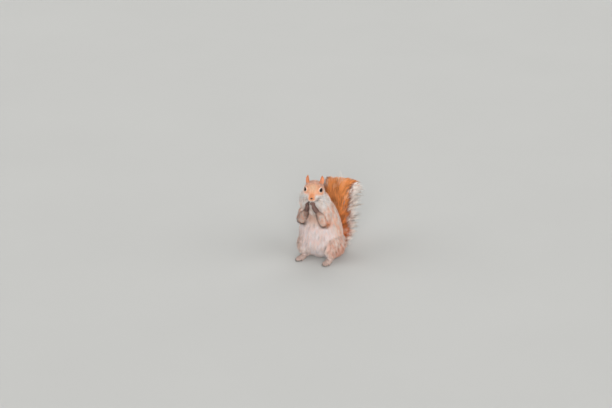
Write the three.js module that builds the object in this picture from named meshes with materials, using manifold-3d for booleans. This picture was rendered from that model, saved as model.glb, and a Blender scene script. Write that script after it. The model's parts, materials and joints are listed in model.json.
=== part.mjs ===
// An eastern grey squirrel sitting upright on its haunches, hands held together at its mouth, tail raised
// behind its back. Life size, in millimetres, +Z up. It faces -Y, its own left is +X, and the origin is
// the middle of the flat on which its rump rests. Every solid reaches out to the tips of the coat.
import * as THREE from "three";
import { mergeVertices } from "three/addons/utils/BufferGeometryUtils.js";
import Module from "manifold-3d";

const wasm = await Module();
wasm.setup();

// ---- driving dimensions -------------------------------------------------------------------------
const GAP = 0.3; // clearance between neighbouring solids
const HEAD_CENTRE = [0, -33, 162]; // between and behind the eyes
const HEAD_YAW = 18; // degrees, turned to its own left
const HEAD_PITCH = 3; // degrees, nose down
const HEAD_ROLL = 1; // degrees, crown leaning to its own left
const EYE = { forward: 12, side: 14, up: 4.6, radius: 5.6 };
const EAR = { forward: -9, side: 13, up: 11, height: 15, lean: 7, tilt: 24, turn: 56 };
const SHOULDER = { side: 22, y: -20, z: 114, radius: 15.5 };
const ELBOW = { side: 26.5, y: -36, z: 91, radius: 13.5 };
const HANDS = { x: 7.5, y: -65, z: 136 }; // where the two hands meet, under the nose
const KNEE = { left: 39, right: 25 }; // how far out each knee lies; the right leg is tucked in
const HEEL = { left: 32, right: 22, y: 4 };
const FOOT = { length: 66, width: 15.5, toeOut: 5 };
const CLAW_TIP = 0.3; // half-thickness of a claw at its end

const X = new THREE.Vector3(1, 0, 0);
const vec = (p) => new THREE.Vector3(...p);
const rad = THREE.MathUtils.degToRad;

// ---- solids ---------------------------------------------------------------------------------------
// A closed solid through stations. Each station has its centre at, its half-width w to each side, and the
// reach of its section up and down; pear widens the lower half and narrows the upper one. The section
// stands across the path with its width along side. Each end is a dome as long as domes times its size.
function loft(stations, { side = X, ring = 16, steps = 3, domes = [0.8, 0.8], domeRings = 3, cup = 0, grow = 0 } = {}) {
  const path = new THREE.CatmullRomCurve3(stations.map((s) => vec(s.at)));
  const sizes = curveOf(stations.map((s) => new THREE.Vector3(s.w, s.up ?? s.w, s.down ?? s.up ?? s.w)));
  const pears = curveOf(stations.map((s) => new THREE.Vector3(s.pear ?? 0, 0, 0)));
  const count = (stations.length - 1) * steps;
  const positions = [];

  function addRing(t, shift, scale) {
    const tangent = path.getTangent(t);
    const across = side.clone().addScaledVector(tangent, -side.dot(tangent)).normalize();
    const above = tangent.clone().cross(across);
    const size = sizes.getPoint(t);
    const pear = pears.getPoint(t).x;
    const centre = path.getPoint(t).addScaledVector(tangent, shift);
    for (let j = 0; j < ring; j++) {
      const angle = (j / ring) * 2 * Math.PI;
      const c = Math.cos(angle);
      const s = Math.sin(angle);
      const a = (size.x + grow) * scale * c * (1 - pear * s);
      const b = ((s > 0 ? size.y : size.z) + grow) * scale * s + cup * c * c * size.x * scale;
      positions.push(...centre.clone().addScaledVector(across, a).addScaledVector(above, b).toArray());
    }
  }
  function addPole(t, shift) {
    positions.push(...path.getPoint(t).addScaledVector(path.getTangent(t), shift).toArray());
  }
  function domeLength(t, share) {
    const size = sizes.getPoint(t);
    return (share * (size.x + size.y + size.z)) / 3 + grow;
  }

  const first = domeLength(0, domes[0]);
  const last = domeLength(1, domes[1]);
  const firstRings = domes[0] > 0 ? domeRings : 1;
  const lastRings = domes[1] > 0 ? domeRings : 1;
  addPole(0, -first);
  for (let k = 1; k < firstRings; k++) {
    const angle = (k / firstRings) * (Math.PI / 2);
    addRing(0, -first * Math.cos(angle), Math.sin(angle));
  }
  for (let i = 0; i <= count; i++) {
    const flatEnd = (i === 0 && domes[0] === 0 ? -grow : 0) + (i === count && domes[1] === 0 ? grow : 0);
    addRing(i / count, flatEnd, 1);
  }
  for (let k = lastRings - 1; k > 0; k--) {
    const angle = (k / lastRings) * (Math.PI / 2);
    addRing(1, last * Math.cos(angle), Math.sin(angle));
  }
  addPole(1, last);
  return closedRings(positions, ring);
}

function curveOf(points) {
  return new THREE.CatmullRomCurve3(points, false, "catmullrom", 0.5);
}

// Faces for a first pole, rings of equal size, and a last pole.
function closedRings(positions, ring) {
  const rings = (positions.length / 3 - 2) / ring;
  const end = positions.length / 3 - 1;
  const index = [];
  const at = (i, j) => 1 + i * ring + (j % ring);
  for (let j = 0; j < ring; j++) {
    index.push(0, at(0, j + 1), at(0, j));
    index.push(end, at(rings - 1, j), at(rings - 1, j + 1));
    for (let i = 0; i < rings - 1; i++) {
      index.push(at(i, j), at(i, j + 1), at(i + 1, j + 1));
      index.push(at(i, j), at(i + 1, j + 1), at(i + 1, j));
    }
  }
  const geometry = new THREE.BufferGeometry();
  geometry.setAttribute("position", new THREE.Float32BufferAttribute(positions, 3));
  geometry.setIndex(index);
  return geometry;
}

function solid(geometry) {
  const bare = geometry.clone();
  bare.deleteAttribute("normal");
  bare.deleteAttribute("uv");
  const merged = mergeVertices(bare, 1e-4);
  return new wasm.Manifold(
    new wasm.Mesh({
      numProp: 3,
      vertProperties: new Float32Array(merged.attributes.position.array),
      triVerts: new Uint32Array(merged.index.array),
    }),
  );
}

// The largest of the pieces that a cut leaves.
function largest(body) {
  return body.decompose().reduce((a, b) => (a.volume() > b.volume() ? a : b));
}

function cutBy(body, ...others) {
  return largest(others.reduce((left, other) => left.subtract(other), body));
}

// The two largest pieces that a slab leaves, the upper one first.
function partedByHeight(body, slab) {
  const bySize = body.subtract(slab).decompose().sort((a, b) => b.volume() - a.volume());
  return bySize.slice(0, 2).sort((a, b) => b.boundingBox().max[2] - a.boundingBox().max[2]);
}

function geometryOf(body) {
  const mesh = body.getMesh();
  const geometry = new THREE.BufferGeometry();
  const points = new Float32Array(mesh.numVert * 3);
  for (let i = 0; i < mesh.numVert; i++) {
    points.set(mesh.vertProperties.subarray(i * mesh.numProp, i * mesh.numProp + 3), i * 3);
  }
  geometry.setAttribute("position", new THREE.BufferAttribute(points, 3));
  geometry.setIndex(new THREE.BufferAttribute(new Uint32Array(mesh.triVerts), 1));
  return geometry;
}

// ---- head -------------------------------------------------------------------------------------------
// In the head's own frame x is its left, y is forward from the centre and z is up.
const headTurn = new THREE.Matrix4()
  .makeTranslation(...HEAD_CENTRE)
  .multiply(new THREE.Matrix4().makeRotationZ(rad(HEAD_YAW)))
  .multiply(new THREE.Matrix4().makeRotationX(rad(HEAD_PITCH)))
  .multiply(new THREE.Matrix4().makeRotationY(rad(HEAD_ROLL)));
const onHead = (x, forward, z) => new THREE.Vector3(x, -forward, z).applyMatrix4(headTurn);
const headSide = X.clone().transformDirection(headTurn);

function headSolid(grow = 0) {
  const station = (forward, z, w, up, down, pear) => ({ at: onHead(0, forward, z).toArray(), w, up, down, pear });
  const stations = [
    station(-20, -2, 16, 12.5, 14, 0),
    station(-10, -1, 21, 17.6, 17.5, 0.06),
    station(0, -1, 23, 18.6, 19, 0.12),
    station(9, -2, 21.6, 18, 18.5, 0.16),
    station(17, -3.4, 17.2, 15.4, 17, 0.14),
    station(24, -5, 12.6, 12.2, 15, 0.1),
    station(30, -6, 10, 9.7, 12.6, 0.06),
    station(35, -6.6, 8.2, 7, 9.8, 0.02),
  ];
  return solid(loft(stations, { side: headSide, ring: 18, steps: 2, domes: [0.7, 0.5], domeRings: 2, grow }));
}

function eyeSolid(side, grow = 0) {
  const geometry = new THREE.SphereGeometry(EYE.radius + grow, 12, 6);
  geometry.translate(...onHead(side * EYE.side, EYE.forward, EYE.up).toArray());
  return solid(geometry);
}

// An upright oval leaf, hollowed on the side that it opens to.
function earSolid(side) {
  const turn = headTurn
    .clone()
    .multiply(new THREE.Matrix4().makeTranslation(side * EAR.side, -EAR.forward, EAR.up))
    .multiply(new THREE.Matrix4().makeRotationX(rad(-EAR.tilt)))
    .multiply(new THREE.Matrix4().makeRotationY(rad(side * EAR.lean)))
    .multiply(new THREE.Matrix4().makeRotationZ(rad(side * EAR.turn)));
  const station = (z, w, thick) => ({ at: vec([0, 0, z]).applyMatrix4(turn).toArray(), w, up: thick, down: thick });
  const h = EAR.height;
  const stations = [
    station(-4, 6.4, 3.2),
    station(0.25 * h, 7.4, 2.2),
    station(0.55 * h, 7, 1.5),
    station(0.8 * h, 5.2, 1.1),
    station(0.95 * h, 2.6, 0.9),
  ];
  const across = X.clone().transformDirection(turn);
  return solid(loft(stations, { side: across, ring: 12, steps: 1, domes: [0.4, 0.5], domeRings: 2, cup: -0.42 }));
}

// ---- neck and trunk ------------------------------------------------------------------------------------
// The ruff is fuller on the right, away from the side that the head turns to.
const across = (x, y, z, w, up, down, pear = 0) => ({ at: [x, y, z], w, up, down, pear });
const midline = (...rest) => across(0, ...rest);

function neckSolid(grow = 0) {
  const stations = [
    across(-2, -19, 118, 37, 31, 25),
    across(-3.5, -24, 134, 36.5, 29.5, 24),
    across(-3, -28, 150, 30, 27, 21),
    across(-1, -31, 164, 19, 21, 15),
  ];
  return solid(loft(stations, { ring: 16, steps: 1, domes: [0, 0], grow }));
}

function trunkSolid(grow = 0) {
  const stations = [
    midline(1, 11, 37, 27, 34),
    midline(4, 31, 48, 38, 49),
    midline(3, 57, 49, 42, 50),
    midline(-3, 84, 45, 39, 43),
    across(-1, -12, 108, 40, 35, 33),
    across(-2, -20, 124, 36, 29, 26),
  ];
  return solid(loft(stations, { ring: 18, steps: 2, domes: [0.4, 0.25], domeRings: 2, grow }));
}

// ---- arms -------------------------------------------------------------------------------------------------
const shoulderOf = (side) => [side * SHOULDER.side, SHOULDER.y, SHOULDER.z];
const elbowOf = (side) => [side * ELBOW.side, ELBOW.y, ELBOW.z];
const wristOf = (side) => [HANDS.x + side * 11.5, HANDS.y + 6, HANDS.z - 11];
const between = (a, b, share) => a.map((v, i) => v + (b[i] - v) * share);

function upperArmSolid(side, grow = 0) {
  const [from, to] = [shoulderOf(side), elbowOf(side)];
  const r = SHOULDER.radius;
  const stations = [
    { at: between(from, to, -0.15), w: r * 0.85, up: r * 0.95 },
    { at: between(from, to, 0.3), w: r, up: r * 1.15 },
    { at: between(from, to, 0.7), w: r * 0.9, up: r },
    { at: to, w: ELBOW.radius, up: ELBOW.radius },
  ];
  return solid(loft(stations, { ring: 12, steps: 1, domeRings: 2, grow }));
}

function forearmSolid(side, grow = 0) {
  const [from, to] = [elbowOf(side), wristOf(side)];
  const r = ELBOW.radius;
  const stations = [
    { at: between(from, to, 0.02), w: r * 0.92, up: r * 0.95 },
    { at: between(from, to, 0.35), w: r * 0.86, up: r * 0.9 },
    { at: between(from, to, 0.7), w: r * 0.68, up: r * 0.7 },
    { at: between(from, to, 0.96), w: r * 0.5, up: r * 0.5 },
  ];
  return solid(loft(stations, { ring: 11, steps: 1, domeRings: 2, grow }));
}

// A digit with its claw, through points given from its root to the end of the claw.
function digitSolid(points, radius, side, grow = 0) {
  const [root, knuckle, tip, clawRoot, clawEnd] = points;
  const flesh = loft(
    [
      { at: root, w: radius },
      { at: knuckle, w: radius * 1.04 },
      { at: tip, w: radius * 0.9 },
    ],
    { side, ring: 5, steps: 1, domes: [0, 0.8], domeRings: 2, grow },
  );
  const claw = loft(
    [
      { at: tip, w: radius * 0.42, up: radius * 0.6 },
      { at: clawRoot, w: radius * 0.36, up: radius * 0.5 },
      { at: clawEnd, w: CLAW_TIP },
    ],
    { side, ring: 4, steps: 1, domes: [0.3, 0.6], domeRings: 1, grow },
  );
  return solid(flesh).add(solid(claw));
}

function handSolid(side, grow = 0) {
  const wrist = wristOf(side);
  const inward = (across, forward, up) => [
    HANDS.x + side * across,
    HANDS.y - forward,
    HANDS.z + up,
  ];
  const palm = solid(
    loft(
      [
        { at: between(wrist, inward(7.6, 1, 0), -0.1), w: 6.2, up: 5.8 },
        { at: between(wrist, inward(7.6, 1, 0), 0.45), w: 6.8, up: 5.2 },
        { at: inward(7.6, 1, 0), w: 6.6, up: 4.2 },
      ],
      { side: new THREE.Vector3(0, 1, 0), ring: 9, steps: 1, domeRings: 2, grow },
    ),
  );
  const spread = [-1.5, -0.5, 0.5, 1.5];
  return spread.reduce((hand, k) => {
    const step = 3.5 * k;
    const points = [
      inward(7.6, 1 + step, 1),
      inward(7.2, 2 + step * 1.1, 6.4),
      inward(4.2, 2.6 + step * 1.15, 9.6),
      inward(2.7, 2.7 + step * 1.15, 9.8),
      inward(1, 2.5 + step * 1.15, 7.8),
    ];
    return hand.add(digitSolid(points, 2.1, new THREE.Vector3(0, 1, 0), grow));
  }, palm);
}

// ---- hind legs -----------------------------------------------------------------------------------------------
// Thigh and shank folded together beside the belly, from the hip forward to the knee.
function haunchSolid(name, side, grow = 0) {
  const knee = KNEE[name];
  const stations = [
    { at: [side * (knee * 0.4 + 13), 17, 33], w: 22, up: 27, down: 27 },
    { at: [side * (knee * 0.65 + 9), -1, 33], w: 25, up: 31, down: 31 },
    { at: [side * (knee * 0.9 + 2), -19, 34], w: 21.5, up: 28, down: 30 },
    { at: [side * knee, -34, 33], w: 15.5, up: 20, down: 24 },
  ];
  return solid(loft(stations, { ring: 16, steps: 2, domes: [0.7, 0.62], domeRings: 2, grow }));
}

// A thin slab from below the knee back to the heel, which parts thigh from shank.
function kneeCut(side) {
  const slab = new THREE.BoxGeometry(110, 160, GAP);
  slab.rotateX(rad(-14));
  slab.translate(side * 40, -10, 23);
  return solid(slab);
}

function footSolid(name, side, grow = 0) {
  const turn = new THREE.Matrix4()
    .makeTranslation(side * HEEL[name], HEEL.y, 0)
    .multiply(new THREE.Matrix4().makeRotationZ(rad(side * FOOT.toeOut)));
  const onFoot = (x, forward, z) => new THREE.Vector3(side * x, -forward, z).applyMatrix4(turn).toArray();
  const w = FOOT.width / 2;
  const long = FOOT.length;
  const sole = loft(
    [
      { at: onFoot(0, 2, 5.5), w: w * 0.82, up: 6, down: 6 },
      { at: onFoot(0, 0.25 * long, 6), w: w * 0.9, up: 7, down: 7 },
      { at: onFoot(0, 0.5 * long, 5), w: w, up: 5.6, down: 6 },
      { at: onFoot(0, 0.72 * long, 3.8), w: w * 1.08, up: 4.2, down: 5 },
    ],
    { side: X.clone().transformDirection(turn), ring: 10, steps: 1, domes: [0.6, 0.5], domeRings: 2, grow },
  );
  // Five toes: the three middle ones are longest and start furthest forward.
  const toes = [-2, -1, 0, 1, 2].map((k) => {
    const reach = long * (0.99 - 0.028 * k * k);
    const x = 3.15 * k;
    const back = 0.72 * long - 0.9 * k * k;
    const points = [
      onFoot(x * 0.92, back, 3),
      onFoot(x * 1.08, back + (reach - 4.5 - back) * 0.55, 3.9),
      onFoot(x * 1.16, reach - 4.5, 2.3),
      onFoot(x * 1.18, reach - 1.8, 2.5),
      onFoot(x * 1.2, reach + 1.2, 0.9),
    ];
    return digitSolid(points, 2.3, X, grow);
  });
  return toes.reduce((foot, toe) => foot.add(toe), solid(sole));
}

// ---- tail -------------------------------------------------------------------------------------------------------
// The tail lies on the floor at its base, rises close behind the back and curls away at the top; its width
// is the spread of its hair.
const TAIL = [
  { at: [0, 30, 12], w: 17, up: 12.6, down: 13 },
  { at: [4, 45, 12.5], w: 34, up: 13.5, down: 13 },
  { at: [8, 56, 26], w: 44, up: 13, down: 14 },
  { at: [11, 60, 48], w: 50, up: 14, down: 14 },
  { at: [13, 60, 74], w: 53, up: 15, down: 14 },
  { at: [12, 60, 100], w: 58, up: 16, down: 14 },
  { at: [11, 65, 123], w: 59, up: 19, down: 14 },
  { at: [11, 79, 135], w: 55, up: 21, down: 14 },
  { at: [12, 95, 132], w: 45, up: 19, down: 13 },
  { at: [14, 109, 120], w: 29, up: 14, down: 12 },
];
const TAIL_LENGTHS = [
  { name: "tail_base", from: 0, to: 3 },
  { name: "tail_lower", from: 3, to: 5 },
  { name: "tail_upper", from: 5, to: 7 },
  { name: "tail_tip", from: 7, to: 9 },
];

const wholeTail = solid(loft(TAIL, { ring: 16, steps: 2, domes: [0.6, 1.1], domeRings: 2 }));

// A slab across the tail at a station, thin where it parts two lengths.
function tailCut(index) {
  const path = new THREE.CatmullRomCurve3(TAIL.map((s) => vec(s.at)));
  const t = index / (TAIL.length - 1);
  const slab = new THREE.BoxGeometry(160, 70, GAP);
  const facing = new THREE.Quaternion().setFromUnitVectors(new THREE.Vector3(0, 0, 1), path.getTangent(t));
  slab.applyQuaternion(facing);
  slab.translate(...path.getPoint(t).toArray());
  return solid(slab);
}

// ---- joining and parting --------------------------------------------------------------------------------------------
const floor = solid(new THREE.BoxGeometry(600, 600, 100).translate(0, 0, -50));
const parts = {};
const SIDES = { left: 1, right: -1 };
const each = (make) => Object.entries(SIDES).forEach(([name, side]) => make(name, side));
const both = (make) => Object.entries(SIDES).map(([name, side]) => make(name, side));

parts.head = cutBy(headSolid(), ...both((_, side) => eyeSolid(side, GAP)));
each((name, side) => {
  parts[`eye_${name}`] = eyeSolid(side);
  parts[`ear_${name}`] = cutBy(earSolid(side), headSolid(GAP));
  parts[`hand_${name}`] = cutBy(handSolid(side), headSolid(GAP));
  parts[`forearm_${name}`] = cutBy(forearmSolid(side), handSolid(side, GAP), headSolid(GAP));
  parts[`upper_arm_${name}`] = cutBy(upperArmSolid(side), forearmSolid(side, GAP), headSolid(GAP));
  parts[`hind_foot_${name}`] = cutBy(footSolid(name, side), floor);
  const haunch = cutBy(haunchSolid(name, side), footSolid(name, side, GAP), floor);
  [parts[`thigh_${name}`], parts[`shank_${name}`]] = partedByHeight(haunch, kneeCut(side));
});
const limbs = both((name, side) => [
  upperArmSolid(side, GAP),
  forearmSolid(side, GAP),
  handSolid(side, GAP),
  haunchSolid(name, side, GAP),
  footSolid(name, side, GAP),
]).flat();
parts.trunk = cutBy(trunkSolid(), ...limbs, floor);
parts.neck = cutBy(neckSolid(), trunkSolid(GAP), ...limbs, headSolid(GAP));

const inside = TAIL_LENGTHS.slice(0, -1).map((length) => tailCut(length.to));
const tailLengths = cutBy(wholeTail, trunkSolid(GAP), ...limbs, floor);
const lengths = inside.reduce((left, slab) => left.subtract(slab), tailLengths).decompose();
const pathPoint = new THREE.CatmullRomCurve3(TAIL.map((s) => vec(s.at)));
TAIL_LENGTHS.forEach(({ name, from, to }) => {
  const middle = pathPoint.getPoint((from + to) / 2 / (TAIL.length - 1));
  const near = (body) => {
    const box = body.boundingBox();
    const centre = vec(box.min).add(vec(box.max)).multiplyScalar(0.5);
    return centre.distanceTo(middle);
  };
  parts[name] = lengths.reduce((a, b) => (near(a) < near(b) ? a : b));
});

// ---- finish -----------------------------------------------------------------------------------------------------------
const COLOURS = {
  head: 0xb98a66,
  ear: 0xc98352,
  eye: 0x120c0a,
  neck: 0xcdb9ae,
  trunk: 0xd9cbc4,
  upper_arm: 0xb59a8a,
  forearm: 0xb59a8a,
  hand: 0xb9a79c,
  thigh: 0xab8f7e,
  shank: 0xab8f7e,
  hind_foot: 0xb9a79c,
  tail: 0xb5774a,
};

function materialFor(name) {
  const kind = name.replace(/_(left|right)$/, "").replace(/^tail_.*/, "tail");
  const roughness = kind === "eye" ? 0.08 : 0.9;
  return new THREE.MeshStandardMaterial({ color: COLOURS[kind], roughness, metalness: 0 });
}

const squirrel = new THREE.Group();
for (const [name, body] of Object.entries(parts)) {
  const mesh = new THREE.Mesh(geometryOf(body), materialFor(name));
  mesh.name = name;
  squirrel.add(mesh);
}

export default squirrel;
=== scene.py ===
"""A life-size eastern grey squirrel sitting up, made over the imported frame: a skin with eyes, lids, nose,
claws and whiskers, and a coat of mesh tufts that follows the lie of the fur. Numbers multiplied by MM are in
millimetres, as are those given for points of the animal; the rest are in metres. It faces -Y and its own left
is +X."""

import json
from math import cos, pi, radians, sin

import bmesh
import bpy
import numpy as np
from mathutils import Matrix, Vector
from mathutils.bvhtree import BVHTree
from mathutils.kdtree import KDTree

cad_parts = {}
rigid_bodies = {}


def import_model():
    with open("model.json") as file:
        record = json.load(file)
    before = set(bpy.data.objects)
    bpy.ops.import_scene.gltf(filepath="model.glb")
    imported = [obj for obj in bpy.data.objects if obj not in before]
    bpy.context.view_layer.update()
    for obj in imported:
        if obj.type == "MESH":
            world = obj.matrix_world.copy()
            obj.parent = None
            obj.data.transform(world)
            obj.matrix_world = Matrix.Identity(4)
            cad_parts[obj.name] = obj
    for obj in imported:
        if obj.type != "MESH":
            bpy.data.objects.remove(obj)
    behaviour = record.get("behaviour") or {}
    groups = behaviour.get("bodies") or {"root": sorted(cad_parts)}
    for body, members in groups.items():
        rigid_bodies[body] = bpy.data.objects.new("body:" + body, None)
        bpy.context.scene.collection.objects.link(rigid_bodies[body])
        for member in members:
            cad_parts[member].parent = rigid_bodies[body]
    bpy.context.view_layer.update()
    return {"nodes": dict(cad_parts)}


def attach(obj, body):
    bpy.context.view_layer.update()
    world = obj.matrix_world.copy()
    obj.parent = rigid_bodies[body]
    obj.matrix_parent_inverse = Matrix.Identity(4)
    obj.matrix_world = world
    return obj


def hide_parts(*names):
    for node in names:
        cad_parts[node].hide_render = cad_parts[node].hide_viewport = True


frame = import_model()
MM = 0.001
SIDES = {"left": 1, "right": -1}
rng = np.random.default_rng(20)

# ---- the frame's own dimensions, as in the CAD ----
HEAD_CENTRE = Vector((0, -33, 162)) * MM
HEAD_YAW, HEAD_PITCH, HEAD_ROLL = radians(18), radians(3), radians(1)
EYE = {"forward": 12, "side": 13.8, "up": 5.3, "radius": 5.6}
EAR = {"forward": -9, "side": 13, "up": 11, "tilt": radians(24), "lean": radians(7), "turn": radians(60)}
EAR_LEAF = ((-4, 5.8, 2.4), (3.75, 6.6, 1.5), (8.25, 6.1, 1.05), (12, 4.5, 0.8), (14.2, 2.2, 0.6))
EAR_CUP = 0.42  # how deep the leaf is hollowed, as a share of its half-width
SHOULDER, ELBOW = (22, -20, 114), (26.5, -36, 91)
HANDS = (7.5, -65, 136)
WRIST = (11.5, 6, -11)  # from the middle of the hands
HEEL = {"left": 32, "right": 22, "y": 4}
FOOT_LONG, FOOT_HALF, TOE_OUT = 66, 7.75, radians(5)
# The tail's centre line, with the half-width of its hair and its reach behind and in front.
TAIL = [
    ((0, 30, 12), 17, 12.6, 13),
    ((4, 45, 12.5), 34, 13.5, 13),
    ((8, 56, 26), 44, 13, 14),
    ((11, 60, 48), 50, 14, 14),
    ((13, 60, 74), 53, 15, 14),
    ((12, 60, 100), 58, 16, 14),
    ((11, 65, 123), 59, 19, 14),
    ((11, 79, 135), 55, 21, 14),
    ((12, 95, 132), 45, 19, 13),
    ((14, 109, 120), 29, 14, 12),
]

# ---- camera: the photograph's angle and framing ----
AZIMUTH, ELEVATION, DISTANCE, LENS, SENSOR = radians(26), radians(22), 4.6, 128.9, 36
NOSE = Vector((12.3, -71, 154)) * MM
NOSE_RIGHT_OF_CENTRE, NOSE_ABOVE_CENTRE = 11.3 * MM, 8.4 * MM  # where the nose stands in the picture


def new_object(name, data):
    thing = bpy.data.objects.new(name, data)
    bpy.context.scene.collection.objects.link(thing)
    return thing


def direction(azimuth, elevation):
    """From the animal outwards: turned from its front towards its left, and up."""
    return Vector((sin(azimuth) * cos(elevation), -cos(azimuth) * cos(elevation), sin(elevation)))


def add_camera():
    back = direction(AZIMUTH, ELEVATION)
    right = Vector((cos(AZIMUTH), sin(AZIMUTH), 0))
    up = back.cross(right)
    target = NOSE - right * NOSE_RIGHT_OF_CENTRE - up * NOSE_ABOVE_CENTRE
    data = bpy.data.cameras.new("camera")
    data.lens, data.sensor_width = LENS, SENSOR
    camera = new_object("camera", data)
    turn = Matrix((right, up, back)).transposed().to_4x4()
    camera.matrix_world = Matrix.Translation(target + back * DISTANCE) @ turn
    bpy.context.scene.camera = camera


add_camera()

# ---- small tools ----
HEAD_TURN = (
    Matrix.Translation(HEAD_CENTRE)
    @ Matrix.Rotation(HEAD_YAW, 4, "Z")
    @ Matrix.Rotation(HEAD_PITCH, 4, "X")
    @ Matrix.Rotation(HEAD_ROLL, 4, "Y")
)


def on_head(x, forward, z):
    """A point given in millimetres in the head's own frame: to its left, forward and up."""
    return HEAD_TURN @ (Vector((x, -forward, z)) * MM)


def placed(points, matrix):
    """Points, one a row, moved by a 4 by 4 matrix."""
    matrix = np.array(matrix)
    return points @ matrix[:3, :3].T + matrix[:3, 3]


def head_coordinates(points):
    """The head's own frame, in millimetres: columns to its left, forward and up."""
    return placed(points, HEAD_TURN.inverted()) / MM * (1, -1, 1)


def head_to_world(points):
    """From the head's own frame in millimetres to the row's in metres."""
    return placed(points * (1, -1, 1) * MM, HEAD_TURN)


def unit(v):
    return v / np.maximum(np.linalg.norm(v, axis=-1, keepdims=True), 1e-12)


def ramp(low, high, x):
    """0 at low and 1 at high, smooth between, and level beyond."""
    t = np.clip((x - low) / (high - low), 0, 1)
    return t * t * (3 - 2 * t)


def blob(points, centre, radius):
    """1 at the centre, falling smoothly to 0 about two radii out."""
    return np.exp(-(((points - centre) / radius) ** 2).sum(-1))


def nearest(points, others, chosen):
    """For each point the index of the nearest of the chosen other ones."""
    tree = KDTree(len(chosen))
    for i in chosen:
        tree.insert(others[i], i)
    tree.balance()
    return np.array([tree.find(p)[1] for p in points])


def catmull(points, t):
    """Points at 0 to 1 along the Catmull-Rom curve through the given ones, straight on beyond its ends."""
    points = np.asarray(points, float)
    ends = np.vstack([2 * points[:1] - points[1:2], points, 2 * points[-1:] - points[-2:-1]])
    place = np.asarray(t, float) * (len(points) - 1)
    i = np.clip(place.astype(int), 0, len(points) - 2)
    f = np.clip(place - i, 0, 1)[..., None]
    a, b, c, d = ends[i], ends[i + 1], ends[i + 2], ends[i + 3]
    on = 0.5 * (2 * b + (c - a) * f + (2 * a - 5 * b + 4 * c - d) * f**2 + (3 * b - a - 3 * c + d) * f**3)
    over = (place - i - f[..., 0])[..., None]
    slope = np.where(over > 0, points[-1] - points[-2], points[1] - points[0])
    return on + over * slope


def add_piece(name, points, triangles, material, slot=None, replaces=(), colours=None, uv=None):
    """A smooth-shaded piece from arrays, with optional colours and a UV map for its points."""
    mesh = bpy.data.meshes.new(name)
    mesh.vertices.add(len(points))
    mesh.vertices.foreach_set("co", np.asarray(points, np.float32).ravel())
    mesh.loops.add(triangles.size)
    mesh.loops.foreach_set("vertex_index", triangles.astype(np.int32).ravel())
    mesh.polygons.add(len(triangles))
    mesh.polygons.foreach_set("loop_start", np.arange(0, triangles.size, 3, dtype=np.int32))
    mesh.polygons.foreach_set("use_smooth", np.ones(len(triangles), bool))
    if colours is not None:
        rgba = np.ones((len(points), 4), np.float32)
        rgba[:, :3] = colours
        mesh.color_attributes.new("Coat", "FLOAT_COLOR", "POINT").data.foreach_set("color", rgba.ravel())
    if uv is not None:
        spread = uv[triangles.ravel()].astype(np.float32).ravel()
        mesh.uv_layers.new(name="OFBake").data.foreach_set("uv", spread)
    mesh.update(calc_edges=True)
    mesh.materials.append(material)
    thing = new_object(name, mesh)
    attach(thing, "root")
    if replaces:
        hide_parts(*replaces)
    return thing


def sweep(stations, side, ring=12, steps=4):
    """A closed tube through (centre, half-width, half-height) stations in millimetres, with domed ends."""
    centres = np.array([s[0] for s in stations], float)
    sizes = np.array([s[1:] for s in stations], float)
    count = (len(stations) - 1) * steps
    along = np.linspace(0, 1, count + 1)
    dome = np.sin(np.linspace(0.25, 1, 3) * pi / 2)
    reach = np.cos(np.linspace(0.25, 1, 3) * pi / 2)
    t = np.concatenate([[0] * 3, along[1:-1], [1] * 3])
    scale = np.concatenate([dome, np.ones(count - 1), dome[::-1]])
    size = catmull(sizes, t)
    shift = np.concatenate([-reach, np.zeros(count - 1), reach[::-1]]) * size.mean(1)
    tangent = unit(catmull(centres, t + 0.01) - catmull(centres, t - 0.01))
    middle = catmull(centres, t) + tangent * shift[:, None]
    side = np.asarray(side, float)
    across = unit(side - tangent * (tangent @ side)[:, None])
    above = np.cross(tangent, across)
    angle = np.arange(ring) / ring * 2 * pi
    rings = (
        middle[:, None]
        + across[:, None] * (size[:, :1] * scale[:, None] * np.cos(angle))[..., None]
        + above[:, None] * (size[:, 1:] * scale[:, None] * np.sin(angle))[..., None]
    )
    tip = size.mean(1)
    poles = centres[[0, -1]] + tangent[[0, -1]] * np.array([[-tip[0]], [tip[-1]]])
    points = np.vstack([poles, rings.reshape(-1, 3)]) * MM
    j = np.arange(ring)
    k = (j + 1) % ring
    faces = [np.stack([np.zeros(ring, int), 2 + k, 2 + j], 1)]
    for i in range(len(t) - 1):
        low, high = 2 + i * ring, 2 + (i + 1) * ring
        faces += [np.stack([low + j, low + k, high + k], 1), np.stack([low + j, high + k, high + j], 1)]
    last = 2 + (len(t) - 1) * ring
    faces.append(np.stack([np.ones(ring, int), last + j, last + k], 1))
    return points, np.vstack(faces)


def joined(parts):
    """Several (points, triangles) as one."""
    points, faces, base = [], [], 0
    for p, f in parts:
        points.append(p)
        faces.append(f + base)
        base += len(p)
    return np.vstack(points), np.vstack(faces)


def read(items, attribute, kind=float):
    """Three numbers for each of a mesh's items."""
    values = np.zeros(len(items) * 3, kind)
    items.foreach_get(attribute, values)
    return values.reshape(-1, 3)


def node_mesh(name):
    mesh = frame["nodes"][name].data
    mesh.calc_loop_triangles()
    return read(mesh.vertices, "co"), read(mesh.loop_triangles, "vertices", np.int32)


def linear(r, g, b):
    """A colour written in the usual 0 to 255 values, as the linear one that shaders use."""
    c = np.array([r, g, b]) / 255
    return np.where(c < 0.04045, c / 12.92, ((c + 0.055) / 1.055) ** 2.4)


# ---- materials ----
def feed(tree, node, inputs):
    """Sets each named input to a value, or joins it to another node's output."""
    for name, value in inputs.items():
        if isinstance(value, bpy.types.NodeSocket):
            tree.links.new(value, node.inputs[name])
        else:
            node.inputs[name].default_value = value


def add_node(tree, kind, inputs=None, **settings):
    node = tree.nodes.new("ShaderNode" + kind)
    for name, value in settings.items():
        setattr(node, name, value)
    feed(tree, node, inputs or {})
    return node


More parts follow.
